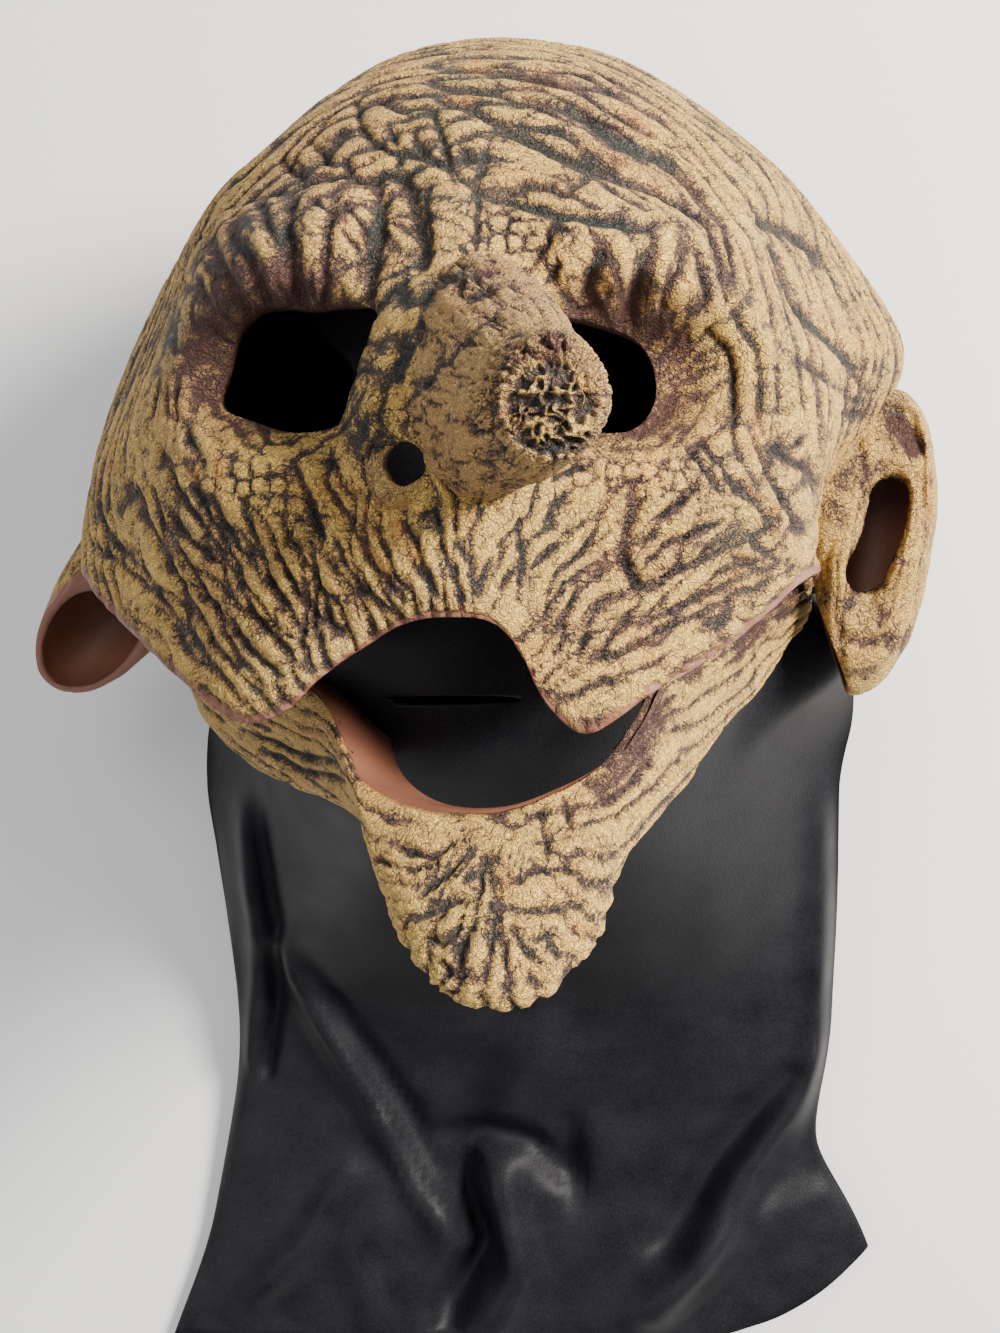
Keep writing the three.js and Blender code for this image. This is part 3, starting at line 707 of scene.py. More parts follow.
# An upright round prism whose sides are given, 1 in radius and half height.
def round_prism(name, sides):
    bm = bmesh.new()
    bmesh.ops.create_cone(
        bm, cap_ends=True, cap_tris=True, segments=sides, radius1=1, radius2=1, depth=2
    )
    return new_piece(name, bm)


def skull_points(directions):
    polar = np.arccos(np.clip(directions[:, 2], -1, 1))
    around = np.arctan2(directions[:, 1], directions[:, 0])
    crowded = polar - FRONT_CROWDING * np.sin(polar)
    x = np.sin(crowded) * np.cos(around)
    y = np.sin(crowded) * np.sin(around)
    z = np.cos(crowded)
    down = mix(SKULL["crown"], SKULL["neck"], smoothstep(z, -1, 0.3))
    plain = columns(
        SKULL["middle"] + x * SKULL["halfWidth"],
        y * np.where(y > 0, SKULL["crown"], down),
        SKULL_HEIGHT + z * np.where(z > 0, SKULL["front"], SKULL["back"]),
    )
    pushed = plain.copy()
    for at, reach, by, both in PUSHES:
        for side in (1, -1) if both else (1,):
            mirror = np.array([side, 1, 1])
            far = (((plain - mirror * at) / reach) ** 2).sum(1)
            amount = np.where(far < 1, (1 - far) ** 2, 0)
            pushed += amount[:, None] * (mirror * by)
    return pushed


# Rays that fan out from a middle: the way along them, and the way across them at a distance.
def rays(x, y, middle, distance, turned=1):
    dx, dy = x - middle[0], y - middle[1]
    return np.hypot(dx, dy), np.arctan2(dx, turned * dy) * distance


# The ways the folds of the head run: along and across in mm, where that way holds, and the
# length, width and depth of its folds.
def head_ways(points):
    x, y, z = points.T
    brows, bags = [], []
    for side, (fan, reach, folds), (bag_reach, bag_folds) in zip(EYE_SIDES, BROW_RAYS, BAG_RINGS):
        from_middle = x - side["middle"][0]
        away = np.hypot(from_middle / side["wide"], y - side["middle"][1])
        above = smoothstep(y + side["lean"] * from_middle, *side["above"])
        brow = (1 - smoothstep(away, *side["brow"])) * above
        bag = (1 - smoothstep(away, *side["bag"])) * (1 - above)
        brows.append((*rays(x, y, fan, reach), brow, *folds))
        bags.append((rays(x, y, side["middle"], bag_reach, -1)[1], away, bag, *bag_folds))
    low = 1 - smoothstep(y, *LOW_FACE["above"])
    low = low * (1 - smoothstep(np.abs(x - LOW_FACE["middle"]), *LOW_FACE["side"]))
    low = low * smoothstep(z, *LOW_FACE["level"]) * (1 - np.maximum(bags[0][2], bags[1][2]))
    leftward = 1 - smoothstep(x, *LOW_FACE["parting"])
    cheeks = [
        (*rays(x, y, fan, reach), share, *folds)
        for (fan, reach, folds), share in zip(CHEEK_RAYS, (low * leftward, low * (1 - leftward)))
    ]
    rest = np.ones(len(points))
    for share in (brows[0][2], brows[1][2], bags[0][2], bags[1][2], low):
        rest = rest - share
    _, turn = rays(x, y, HEAD_RINGS["middle"], HEAD_RINGS["distance"])
    ring = np.sqrt(x**2 + (y - HEAD_RINGS["middle"][1]) ** 2 + (HEAD_RINGS["level"] - z) ** 2)
    rings = (turn, ring, np.clip(rest, 0, 1), *HEAD_RINGS["folds"])
    return [rings, *brows, *bags, *cheeks]


# Folds along each way, as one height in mm and one tone: 0 in the creases and 1 on top; the dark of the
# creases is the mask's dark paint and also painted shade.
def bark(points, ways):
    warp = [noise(points / 13, 11 + k) - 0.5 for k in range(2)]
    height = np.zeros(len(points))
    tone = np.zeros(len(points))
    total = sum(way[2] ** 2 for way in ways) + 1e-9
    for number, (u, v, weight, length, width, depth) in enumerate(ways):
        share = weight**2 / total
        near = share > 0.01
        along = u[near] + 5 * warp[0][near]
        across = v[near] + 0.6 * width * warp[1][near]
        folds = ropes(along, across, length, width, 100 * number)
        small = ropes(along, across, 0.4 * length, 0.42 * width, 100 * number + 50)
        height[near] += share[near] * depth * (folds - 0.75 + 0.42 * (small - 0.75))
        tone[near] += share[near] * (0.05 + 0.95 * folds**1.2) * (0.52 + 0.48 * small)
    return height, tone


# The camera's directions to its right and backwards.
def view_axes():
    yaw = math.radians(VIEW["yaw"])
    return np.array([math.cos(yaw), 0, -math.sin(yaw)]), np.array([math.sin(yaw), 0, math.cos(yaw)])


# Where points show in the photograph, in its pixels, and how well they are seen in it.
def photo_places(points, normals):
    right, back = view_axes()
    away = points - (VIEW["target"] + back * VIEW["distance"])
    depth = -(away @ back)
    px = PHOTO_SIZE[0] / 2 + FOCAL_PIXELS * (away @ right) / depth
    py = PHOTO_SIZE[1] / 2 - FOCAL_PIXELS * away[:, 1] / depth
    facing = -(normals * away).sum(1) / np.linalg.norm(away, axis=1)
    return px, py, smoothstep(facing, *SEEN_FACING) * smoothstep(points[:, 2], *SEEN_LEVELS)


# Puts a piece's points in place and says how they face and where they show in the photograph.
def lay_out(piece, points):
    set_points(piece, points)
    normals = normals_of(piece)
    return normals, photo_places(points, normals)


# How far points are from a line, and a share that fades out at its ends.
def line_distance(x, y, line):
    line = np.asarray(line, float)
    nearest = np.full(len(x), 1e9)
    along = np.zeros(len(x))
    for i in range(len(line) - 1):
        step = line[i + 1] - line[i]
        t = ((x - line[i, 0]) * step[0] + (y - line[i, 1]) * step[1]) / (step @ step)
        inside = np.clip(t, 0, 1)
        away = np.hypot(x - line[i, 0] - step[0] * inside, y - line[i, 1] - step[1] * inside)
        closer = away < nearest
        nearest = np.where(closer, away, nearest)
        along = np.where(closer, (i + inside) / (len(line) - 1), along)
    return nearest, np.sin(np.pi * np.clip(0.15 + 0.7 * along, 0, 1)) ** 0.6


# Traced creases: how deep they are, and how dark and how near from 0 to 1; their dark is dark paint and also
# painted shade.
def creased(places, kinds):
    px, py, seen = places
    jitter = columns(px, py) / 9
    px = px + CREASE_JITTER * (noise(jitter, 31) - 0.5)
    py = py + CREASE_JITTER * (noise(jitter, 32) - 0.5)
    depth = np.zeros(len(px))
    dark = np.zeros(len(px))
    near = np.zeros(len(px))
    for half, deep, lines in kinds:
        for line in lines:
            away, ends = line_distance(px, py, line)
            core = np.exp(-((away / half) ** 2)) * ends
            slope = np.exp(-((away / (3 * half)) ** 2)) * ends
            depth = np.maximum(depth, deep * (0.65 * core + 0.35 * slope))
            dark = np.maximum(dark, core)
            near = np.maximum(near, slope)
    return depth * seen, dark * seen, near * seen


# How much of a dab of colour lies on places: each dab is a traced line with a ragged edge.
def dabs(places, lines, half):
    px, py, seen = places
    amount = np.zeros(len(px))
    ragged = 6 * (noise(columns(px, py) / 7, 33) - 0.5)
    for line in lines:
        away, ends = line_distance(px, py, line)
        amount = np.maximum(amount, (1 - smoothstep(away + ragged, 0.4 * half, 1.3 * half)) * ends)
    return amount * seen


# A patch that is 1 in its middle, falls off at its half size and is about 0 well outside it.
def patch(x, y, middle, half):
    return np.exp(-(((x - middle[0]) / half[0]) ** 4) - ((y - middle[1]) / half[1]) ** 4)


# How strong the relief is over the head, how calm its paint, the dark tint round the eyes, and
# how far the brows stand out.
def head_zones(points):
    x, y, z = points.T
    along_x, along_y, along_z = CALM_PART
    calm = smoothstep(x, *along_x) * smoothstep(y, *along_y) * smoothstep(z, *along_z)
    glabella = patch(x, y, *GLABELLA) * smoothstep(z, *GLABELLA_LEVELS)
    strong = (0.35 + 0.65 * smoothstep(z, *STRONG_LEVELS)) * (1 - 0.4 * calm) * (1 - 0.9 * glabella)
    front = smoothstep(z, *FRONT_LEVELS)
    sockets = []
    for middle, half in SOCKETS:
        away = np.hypot((x - middle[0]) / half[0], (y - middle[1]) / half[1])
        sockets.append(1 - smoothstep(away, *SOCKET_FADES))
    sockets[0] = sockets[0] * (1 - smoothstep(x, *SOCKET_TO_NOSE))
    socket = np.maximum(*sockets) * front
    brows = np.maximum(*[patch(x, y, *brow) for brow in BROWS])
    raised = BROW_RISE * brows * front + GLABELLA_RISE * glabella
    return strong, np.maximum(calm, 0.9 * glabella), socket, raised


def add_attribute(piece, name, kind, values):
    attribute = piece.data.attributes.new(name, kind, "POINT")
    key = "color" if kind == "FLOAT_COLOR" else "vector"
    attribute.data.foreach_set(key, values.astype(np.float32).ravel())


class Coat:
    """The painted skin: points with their tone, dark tint and teal, and with more tints."""

    def __init__(self):
        self.points, self.paint, self.tints = [], [], []

    def add(self, points, tone, dark, teal, orange=0.0, ochre=0.0, fine=1.0):
        each = np.zeros(len(points))
        self.points.append(points)
        self.paint.append(columns(tone, dark, teal + each))
        self.tints.append(columns(orange, ochre, fine + each))

    # Carries the coat to a finished piece; what lies deeper than the paint is bare latex.
    def carry_to(self, piece):
        points = np.concatenate(self.points)
        tree = KDTree(len(points))
        for i, point in enumerate(points):
            tree.insert(point, i)
        tree.balance()
        found = [tree.find(place)[1:] for place in points_of(piece)]
        index = np.array([i for i, _ in found])
        depth = np.array([away for _, away in found])
        bare = smoothstep(depth, 0.7 * PAINT_DEPTH, PAINT_DEPTH)
        paint = np.concatenate(self.paint)[index]
        add_attribute(piece, "paint", "FLOAT_COLOR", columns(*paint.T, bare))
        add_attribute(piece, "tints", "FLOAT_VECTOR", np.concatenate(self.tints)[index])


# Gathers a ball's points towards the face, and away from the part that the edge cuts off.
def gathered(directions):
    moved = directions + FACE_GATHER
    moved /= np.linalg.norm(moved, axis=1, keepdims=True)
    height = np.degrees(np.arcsin(np.clip(moved[:, 1], -1, 1)))
    lower = np.radians(np.interp(height, *EDGE_GATHER))
    width = np.hypot(moved[:, 0], moved[:, 2]) + 1e-12
    squeeze = np.cos(lower) / width
    return columns(moved[:, 0] * squeeze, np.sin(lower), moved[:, 2] * squeeze)


# How thick the skin is: it thins towards its lower edge.
def skin_wall(points):
    x, y, z = points.T
    return mix(WALL["head"], WALL["edge"], 1 - smoothstep(y - edge_height(x, z), *EDGE_THINS))


# The skin's relief in mm and the tone of its paint, with painted shade and painted light in it, and the tint
# round the eyes.
def skin_relief(points, places, tear):
    strong, calm, socket, raised = head_zones(points)
    height, tone = bark(points, head_ways(points))
    cobbled = dabs(places, COBBLED, COBBLED_HALF)
    stones = cobbles(places[0] + 6 * noise(points / 5, 7), places[1], COBBLE["size"], 43)
    height = mix(height, COBBLE["rise"] * (stones - 0.7), cobbled)
    patches = smoothstep(noise(points / 9, 23), 0.5, 0.85)
    tone = mix(tone, stones**1.6, cobbled) * (1 - SKIN_TONE["patches"] * patches)
    depth, dark, near = creased(places, FACE_CREASES + NOSE_CREASES)
    height = height * strong * (1 - 0.4 * near) - depth
    height += raised + SKIN_LUMPS * (noise(points / 22, 5) - 0.5) + TEAR_RISE * tear
    tone = mix(tone, 1, np.maximum(SKIN_TONE["calm"] * calm, SKIN_TONE["near"] * near))
    tone = tone * (1 - SKIN_TONE["dark"] * dark) * (1 - SKIN_TONE["socket"] * socket**2)
    return height, painted_skin_shading(points, tone, dark), socket


# Painted shade darkens the crown and the upper left, and painted light lightens the low face.
def painted_skin_shading(points, tone, dark):
    x, y, _ = points.T
    crown, *crown_y = SKIN_PAINTED_SHADING["crown"]
    left, *left_x = SKIN_PAINTED_SHADING["left"]
    low, *low_y = SKIN_PAINTED_SHADING["low"]
    upper_left = (1 - smoothstep(x, *left_x)) * smoothstep(y, 0, 30)
    tone = tone * (1 - crown * smoothstep(y, *crown_y) - left * upper_left)
    return mix(tone, 1, low * (1 - dark) * (1 - smoothstep(y, *low_y)))


# Patches of teal, orange and ochre on the skin.
def skin_tints(points, places, tear):
    teal = np.maximum(0.7 * smoothstep(noise(points / 24, 71), 0.3, 0.8), dabs(places, TEAL_DABS, BRUSH))
    orange = np.maximum(dabs(places, ORANGE_DABS, BRUSH), tear)
    ochre = 0.55 * (1 - smoothstep(points[:, 0], -60, 20)) * smoothstep(noise(points / 17, 72), 0.2, 0.8)
    return teal, orange, ochre


def skin(coat):
    ball = even_ball("head_casting_skin", SKIN_CUTS)
    pushed = skull_points(gathered(points_of(ball)))
    normals, places = lay_out(ball, pushed)
    tear = dabs(places, CHEEK_TEAR, TEAR_HALF)
    height, tone, socket = skin_relief(pushed, places, tear)
    skin_points = pushed + normals * np.maximum(height, THINNEST - skin_wall(pushed))[:, None]
    set_points(ball, skin_points)
    trim(ball, (0, 0, 1), 0)
    x, y, z = pushed.T
    painted = y - edge_height(x, z) > PAINT_STOPS
    layers = (tone, socket, *skin_tints(pushed, places, tear))
    coat.add(skin_points[painted], *[layer[painted] for layer in layers])
    return ball


def head_hollow():
    ball = even_ball("hollow", HOLLOW_CUTS)
    pushed = skull_points(points_of(ball))
    raise_points(ball, pushed, -skin_wall(pushed))
    trim(ball, (0, 0, 1), WALL["head"])
    return ball


# Height of the head casting's lower edge at a place given by its side and level.
def edge_height(x, z):
    line = curve([(a, b, 0) for a, b in LIP_EDGE], np.linspace(0, 1, EDGE_SAMPLES))
    lip = np.interp(x, line[:, 0], line[:, 1])
    nape = mix(NAPE_EDGE["back"], NAPE_EDGE["side"], smoothstep(z, 0, EDGE_TURN[0]))
    return mix(nape, lip, smoothstep(z, *EDGE_TURN))


# A block that holds all that lies below the edge.
def below_edge():
    bm = bmesh.new()
    bmesh.ops.create_grid(bm, x_segments=EDGE_CUTS[0], y_segments=EDGE_CUTS[1], size=1)
    low = bmesh.ops.extrude_face_region(bm, geom=bm.faces[:])["geom"]
    for vertex in (v for v in low if isinstance(v, bmesh.types.BMVert)):
        vertex.co.z = -1
    block = new_piece("below_edge", bm)
    points = points_of(block)
    x = points[:, 0] * EDGE_BLOCK["half"]
    z = EDGE_BLOCK["middle"] + points[:, 1] * EDGE_BLOCK["reach"]
    wobble = EDGE_WOBBLE * (noise(columns(x, z) / 7, 3) - 0.5)
    y = np.where(points[:, 2] < -0.5, EDGE_BLOCK["bottom"], edge_height(x, z) + wobble)
    set_points(block, columns(x, y, z))
    face_outwards(block)
    return block


# An upright prism with a slightly uneven oval outline.
def oval_prism(name, centre, half, low, high, uneven):
    prism = round_prism(name, OVAL_CUTS)
    x, y, z = points_of(prism).T
    ripple = 1 + uneven * (noise(columns(x * 1.7 + 5, y * 1.7 + centre[0]), 9) - 0.5)
    level = mix(low, high, (z + 1) / 2)
    set_points(prism, columns(centre[0] + x * ripple * half[0], centre[1] + y * ripple * half[1], level))
    return prism


# An upright prism through the points of an outline, which run clockwise.
def outline_prism(name, outline, low, high):
    prism = round_prism(name, OUTLINE_CUTS)
    x, y, z = points_of(prism).T
    loop = outline[-1:] + outline + outline[:2]
    share = (0.5 - np.arctan2(y, x) / (2 * np.pi)) % 1
    place = (share * len(outline) + 1) / (len(loop) - 1)
    edge = curve([(*corner, 0) for corner in loop], place)
    middle = np.append(np.mean(outline, axis=0), 0)
    out = np.hypot(x, y)[:, None]
    points = mix(middle, edge, out)
    points[:, 2] = mix(low, high, (z + 1) / 2)
    set_points(prism, points)
    face_outwards(prism)
    return prism


# Rings of the nose lie closer together at its tip.
def nose_share(t):
    return np.interp(t, [0, 0.12, 0.62, 1], [0, 0.16, 0.86, 1])


def nose_points(ball_points, inset):
    x, y, z = ball_points.T
    t = nose_share(np.arccos(np.clip(-z, -1, 1)) / np.pi)
    ring = np.sin(t * np.pi)
    around = np.arctan2(y, x)
    full = np.minimum(1, ring * 2.4)
    half = curve([(*h, 0) for _, h in NOSE], t)
    centre = curve([c for c, _ in NOSE], t)
    points = columns(
        centre[:, 0] + np.cos(around) * full * (half[:, 0] - inset),
        centre[:, 1] + np.sin(around) * full * (half[:, 1] - inset),
        centre[:, 2] - inset * smoothstep(t, 0.8, 1),
    )
    return points, t, around


# The pitted disc at the nose's tip, from 0 to 1: where it is, its rim, and the walls of its pits.
def nose_disc(tip_x, tip_y, places, bend):
    px, py, seen = places
    off = np.hypot(tip_x / NOSE_TIP["half"][0], tip_y / NOSE_TIP["half"][1])
    tip = (1 - smoothstep(off, *NOSE_TIP["edge"])) * seen
    rim = np.exp(-(((off - NOSE_TIP["edge"][1]) / NOSE_TIP["rim"]) ** 2)) * seen
    first, second, _ = scattered((columns(tip_x, tip_y) + bend) / NOSE_TIP["pit"] + 40, 67)
    standing = 0.3 + 0.7 * smoothstep(noise(columns(px, py) / 10, 68), 0.25, 0.7)
    wall = (1 - smoothstep(second - first, 0.0, 0.75)) * standing
    return tip, rim, wall


def nose(coat):
    club = round_ball("nose", NOSE_GRID)
    points, t, around = nose_points(points_of(club), 0)
    normals, places = lay_out(club, points)
    px, py, seen = places
    tip_x, tip_y = px - NOSE_TIP["at"][0], py - NOSE_TIP["at"][1]
    bend = 12 * columns(noise(columns(px, py) / 11, 65), noise(columns(px, py) / 11, 66))
    tip, rim, wall = nose_disc(tip_x, tip_y, places, bend)
    folds = ropes(t * NOSE_LENGTH, around * NOSE_ROUND, *NOSE_FOLDS["large"], 61)
    small = ropes(t * NOSE_LENGTH, around * NOSE_ROUND, *NOSE_FOLDS["small"], 63)
    middle_away, _, _ = scattered((columns(px, py) + bend) / POCK, 69)
    pock = dabs(places, NOSE_POCKS, POCKED_HALF) * (1 - tip) * (1 - smoothstep(middle_away, 0.22, 0.45))
    depth, dark, _ = creased(places, NOSE_CREASES)
    large_rise, small_rise = NOSE_FOLDS["rise"]
    height = large_rise * (folds - 0.6) + small_rise * (small - 0.6)
    height = height + NOSE_FOLDS["lumps"] * (noise(points / 8, 53) - 0.5)
    height = height * (1 - tip) + tip * (DISC["wall"] * wall - DISC["pit"] * (1 - wall))
    height = height + DISC["rim"] * rim - DISC["pock"] * pock - depth
    height = np.maximum(height, THINNEST - WALL["nose"])
    # The tone is dark in the folds' creases, the pits and the pocks: dark paint, and painted shade too
    least, of_folds, of_small = NOSE_TONE["folds"]
    disc_least, of_wall = NOSE_TONE["disc"]
    tone = (least + of_folds * folds + of_small * small) * (1 - tip) + tip * (disc_least + of_wall * wall)
    tone *= (1 - NOSE_TONE["pock"] * pock) * (1 - NOSE_TONE["dark"] * dark)
    tone *= 0.75 + 0.4 * noise(points / 7, 54)
    tone = np.maximum(tone, NOSE_TONE["rim"] * rim)
    blush_x, blush_y = tip_x + NOSE_BLUSH["off"][0], tip_y + NOSE_BLUSH["off"][1]
    blush = (1 - smoothstep(np.hypot(blush_x, blush_y) / NOSE_BLUSH["reach"], 0.5, 1.05)) * (1 - tip) * seen
    blush *= smoothstep(noise(points / 5, 57), 0.1, 0.5)
    teal = np.maximum(0.75 * tip * (1 - wall), dabs(places, TEAL_DABS, BRUSH))
    placed = points + normals * height[:, None]
    set_points(club, placed)
    coat.add(placed, tone, blush, teal, 0, 0.85 * (1 - tip))
    return club


def nose_hollow():
    club = round_ball("nose_hollow", NOSE_HOLLOW_GRID)
    points, _, _ = nose_points(points_of(club), WALL["nose"])
    set_points(club, points)
    return club


def nostril_wing(coat, number, centre):
    wing = round_ball(f"nostril_wing_{number}", WING_GRID)
    points = points_of(wing) * NOSTRIL_WING + centre
    rise = WING_FOLDS["rise"] * (ropes(points[:, 1], points[:, 0], *WING_FOLDS["large"], 81) - 0.6)
    coat.add(raise_points(wing, points, rise), 0.75 + 0.3 * rise, 0.1, 0.15, 0, 0.7)
    return wing


# The egg that an ear pocket is made of, leaned and placed.
def egg_points(ball, centre, half, lean=0, bowl=0):
    x, y, z = ball.T
    press = np.where(z > 0, 1 - bowl * np.exp(-(x * x + 0.5 * y * y) / 0.2), 1)
    local = columns(x * half[0], y * half[1], z * half[2] * press)
    turn = math.radians(lean)
    turned = columns(
        local[:, 0] * math.cos(turn) - local[:, 1] * math.sin(turn),
        local[:, 0] * math.sin(turn) + local[:, 1] * math.cos(turn),
        local[:, 2],
    )
    return turned + centre


# The forms of the ear's front: how far it rises along z, and how deep it lies from 0 to 1; the deep parts
# get painted shade.
def ear_relief(places):
    px, py, seen = places
    rise = np.zeros(len(px))
    deep = np.zeros(len(px))
    for line, half, lift in EAR_FORMS:
        away, _ = line_distance(px, py, line)
        amount = 1 - smoothstep(away, 0.6 * half, 1.4 * half)
        rise += lift * amount
        deep = np.maximum(deep, amount * (lift < 0))
    return rise * seen, deep * seen


def ear(coat, name, shape, carved):
    pocket = round_ball(name, EAR_GRID)
    ball = points_of(pocket)
    points = egg_points(ball, shape["centre"], shape["half"], shape["lean"], shape["bowl"])
    normals, places = lay_out(pocket, points)
    around = np.arctan2(ball[:, 0], ball[:, 1]) * EAR_ROUND
    across = np.hypot(ball[:, 0], ball[:, 1]) * EAR_ACROSS
    folds = ropes(around, across, *EAR_FOLDS["large"], 83)
    small = ropes(around, across, *EAR_FOLDS["small"], 84)
    depth, dark, _ = creased(places, EAR_CREASES if carved else [])
    rise, deep = ear_relief(places) if carved else (np.zeros(len(ball)), np.zeros(len(ball)))
    height = EAR_FOLDS["rise"] * (folds - 0.6) * (1 - deep)
    height = height + EAR_FOLDS["lumps"] * (noise(points / 9, 87) - 0.5) - depth
    points = points + normals * height[:, None] + columns(0, 0, rise)
    set_points(pocket, points)
    patches = smoothstep(noise(points / 7, 86), 0.3, 0.65)
    # The tone is dark in the folds' creases: dark paint, and painted shade too
    least, of_folds, of_small = EAR_TONE["folds"]
    tone = (least + of_folds * folds + of_small * small) * mix(1, patches, EAR_TONE["patches"])
    # Painted shade: the bowl and the dip at the top are darker, and get more oxblood over the little that
    # the whole ear has
    tone = tone * (1 - EAR_TONE["deep"] * deep) * (1 - EAR_TONE["dark"] * dark)
    painted = carved | (points @ shape["cut"] > shape["behind"] + 3)
    paint = columns(tone, np.maximum(0.3, deep), 0.45 * noise(points / 12, 88), 0, 0.1, 1 - 0.8 * deep)
    coat.add(points[painted], *paint[painted].T)
    trim(pocket, shape["cut"], shape["behind"])
    return pocket


def ear_inside(name, shape):
    inside = round_ball(name, EAR_INSIDE_GRID)
    drawn_in = [half - WALL["ear"] for half in shape["half"]]
    points = egg_points(points_of(inside), shape["centre"], drawn_in, shape["lean"], shape["hollow"])
    set_points(inside, points)
    return inside


# The cheek goes over into the front of the right ear without a gap.
def ear_web(coat):
    web = round_ball("ear_web", EAR_WEB_GRID)
    points = egg_points(points_of(web), EAR_WEB["centre"], EAR_WEB["half"])
    points = raise_points(web, points, WEB_LUMPS * (noise(points / 9, 89) - 0.5))
    coat.add(points, 0.45 + 0.5 * noise(points / 5, 90), 0.25, 0.3)
    return web


# The way from an ear's pocket into the head.
def throat(name, centre):
    egg = round_ball(name, THROAT_GRID)
    set_points(egg, egg_points(points_of(egg), centre, EAR_THROAT))
    return egg


def head_casting():
    coat = Coat()
    head = skin(coat)
    wings = [nostril_wing(coat, k, centre) for k, (centre, _) in enumerate(NOSTRILS)]
    combine(head, "UNION", *wings)
    eyes = [outline_prism(f"eye_{k}", eye, *EYES_CUT) for k, eye in enumerate(EYES)]
    combine(head, "DIFFERENCE", head_hollow(), below_edge(), *eyes, nose_hollow())
    club = nose(coat)
    combine(club, "DIFFERENCE", nose_hollow(), head_hollow())
    combine(head, "UNION", club)
    for k, (centre, radius) in enumerate(NOSTRILS):
        levels = (NOSTRIL_CUT["from"], centre[2] + NOSTRIL_CUT["past"])
        nostril = oval_prism(f"nostril_{k}", centre, (radius, radius), *levels, NOSTRIL_CUT["uneven"])
        combine(head, "DIFFERENCE", nostril)
    for name, shape in (("right_ear", RIGHT_EAR), ("left_ear", LEFT_EAR)):
        pocket = ear(coat, name, shape, shape is RIGHT_EAR)
        if shape is RIGHT_EAR:
            combine(pocket, "UNION", ear_web(coat))
        combine(pocket, "DIFFERENCE", head_hollow())
        combine(head, "UNION", pocket)
        inside = ear_inside(name + "_inside", shape)
        combine(head, "DIFFERENCE", inside, throat(name + "_throat", shape["throat"]))
    coat.carry_to(head)
    return finished(head, "head_skin", ["head_casting"], painted_latex())


def jaw_points(along, down):
    rim = curve(JAW_RIM, along)
    keel = curve(JAW_KEEL, along)
    middle = np.exp(-(((along - 0.52) / 0.17) ** 2))
    front = (rim + keel) / 2 + columns(0, -2, 4 + 6 * middle)
    tuck = mix(JAW_TUCK["arms"], JAW_TUCK["chin"], middle)
    hem = keel + columns(0, 0.35 * tuck, -0.94 * tuck)
    turned_in = mix(JAW_LINING["left"], JAW_LINING["rest"], smoothstep(along, 0.34, 0.5))
    inner = rim + columns(0.25, 0.1, -1) * turned_in[:, None]
    return curve([inner, rim, front, keel, hem], down), middle


# The ways the folds of the jaw run: along its arms, and fanned out at the chin.
def jaw_ways(points, along, middle):
    x, y, z = points.T
    chin = smoothstep(middle, 0.35, 0.75) * smoothstep(-y, 98, 108)
    return [
        (along * JAW_LENGTH, y * 0.75 + z * 0.3, 1 - chin, *JAW_FOLDS),
        (*rays(x, y, *CHIN_RAYS[:2], -1), chin, *CHIN_RAYS[2]),
    ]


# The jaw's relief in mm and the tone of its paint.
def jaw_relief(points, places, along, middle):
    height, tone = bark(points, jaw_ways(points, along, middle))
    depth, dark, near = creased(places, JAW_CREASES)
    height = np.maximum(height * (1 - 0.7 * near) - depth, -JAW_DEEPEST)
    height = height + JAW_LUMPS * (noise(points / 12, 74) - 0.5)
    lighter = np.maximum(JAW_TONE["least"], JAW_TONE["near"] * near)
    return height, mix(tone, 1, lighter) * (1 - JAW_TONE["dark"] * dark)


# The jaw's paint: its tone, browner on the right arm, and its tints.
def jaw_paint(points, places, down, tone):
    browner = smoothstep(points[:, 0], 24, 40) * (1 - smoothstep(down, 0.36, 0.52))
    browner *= smoothstep(noise(points / 7, 76), 0.2, 0.55)
    teal = np.maximum(0.6 * smoothstep(noise(points / 20, 73), 0.3, 0.8), dabs(places, TEAL_DABS, BRUSH))
    ochre = 0.8 * (1 - smoothstep(points[:, 0], -50, 0)) * noise(points / 15, 75)
    orange = dabs(places, ORANGE_DABS, BRUSH)
    return tone * (1 - JAW_TONE["browner"] * browner), 0.7 * browner, teal, orange, ochre


def lower_jaw():
    coat = Coat()
    bm = bmesh.new()
    bmesh.ops.create_grid(bm, x_segments=JAW_GRID[0], y_segments=JAW_GRID[1], size=1)
    jaw = new_piece("jaw", bm)
    sheet = points_of(jaw)
    along = (sheet[:, 0] + 1) / 2
    down = (1 - sheet[:, 1]) / 2
    points, middle = jaw_points(along, down)
    normals, places = lay_out(jaw, points)
    height, tone = jaw_relief(points, places, along, middle)
    past_rim = smoothstep(down, JAW_RIM_AT, JAW_RIM_AT + JAW_FADE)
    height = height * (past_rim * smoothstep(1 - np.abs(sheet[:, 0]), 0, JAW_FADE))
    placed = points + normals * height[:, None]
    set_points(jaw, placed)
    thicken(jaw, WALL["jaw"])
    combine(jaw, "DIFFERENCE", bag_solid())
    painted = down > JAW_RIM_AT + 0.01 * PAINT_STOPS
    coat.add(placed[painted], *[layer[painted] for layer in jaw_paint(points, places, down, tone)])
    coat.carry_to(jaw)
    return finished(jaw, "jaw_skin", ["lower_jaw"], jaw_latex())


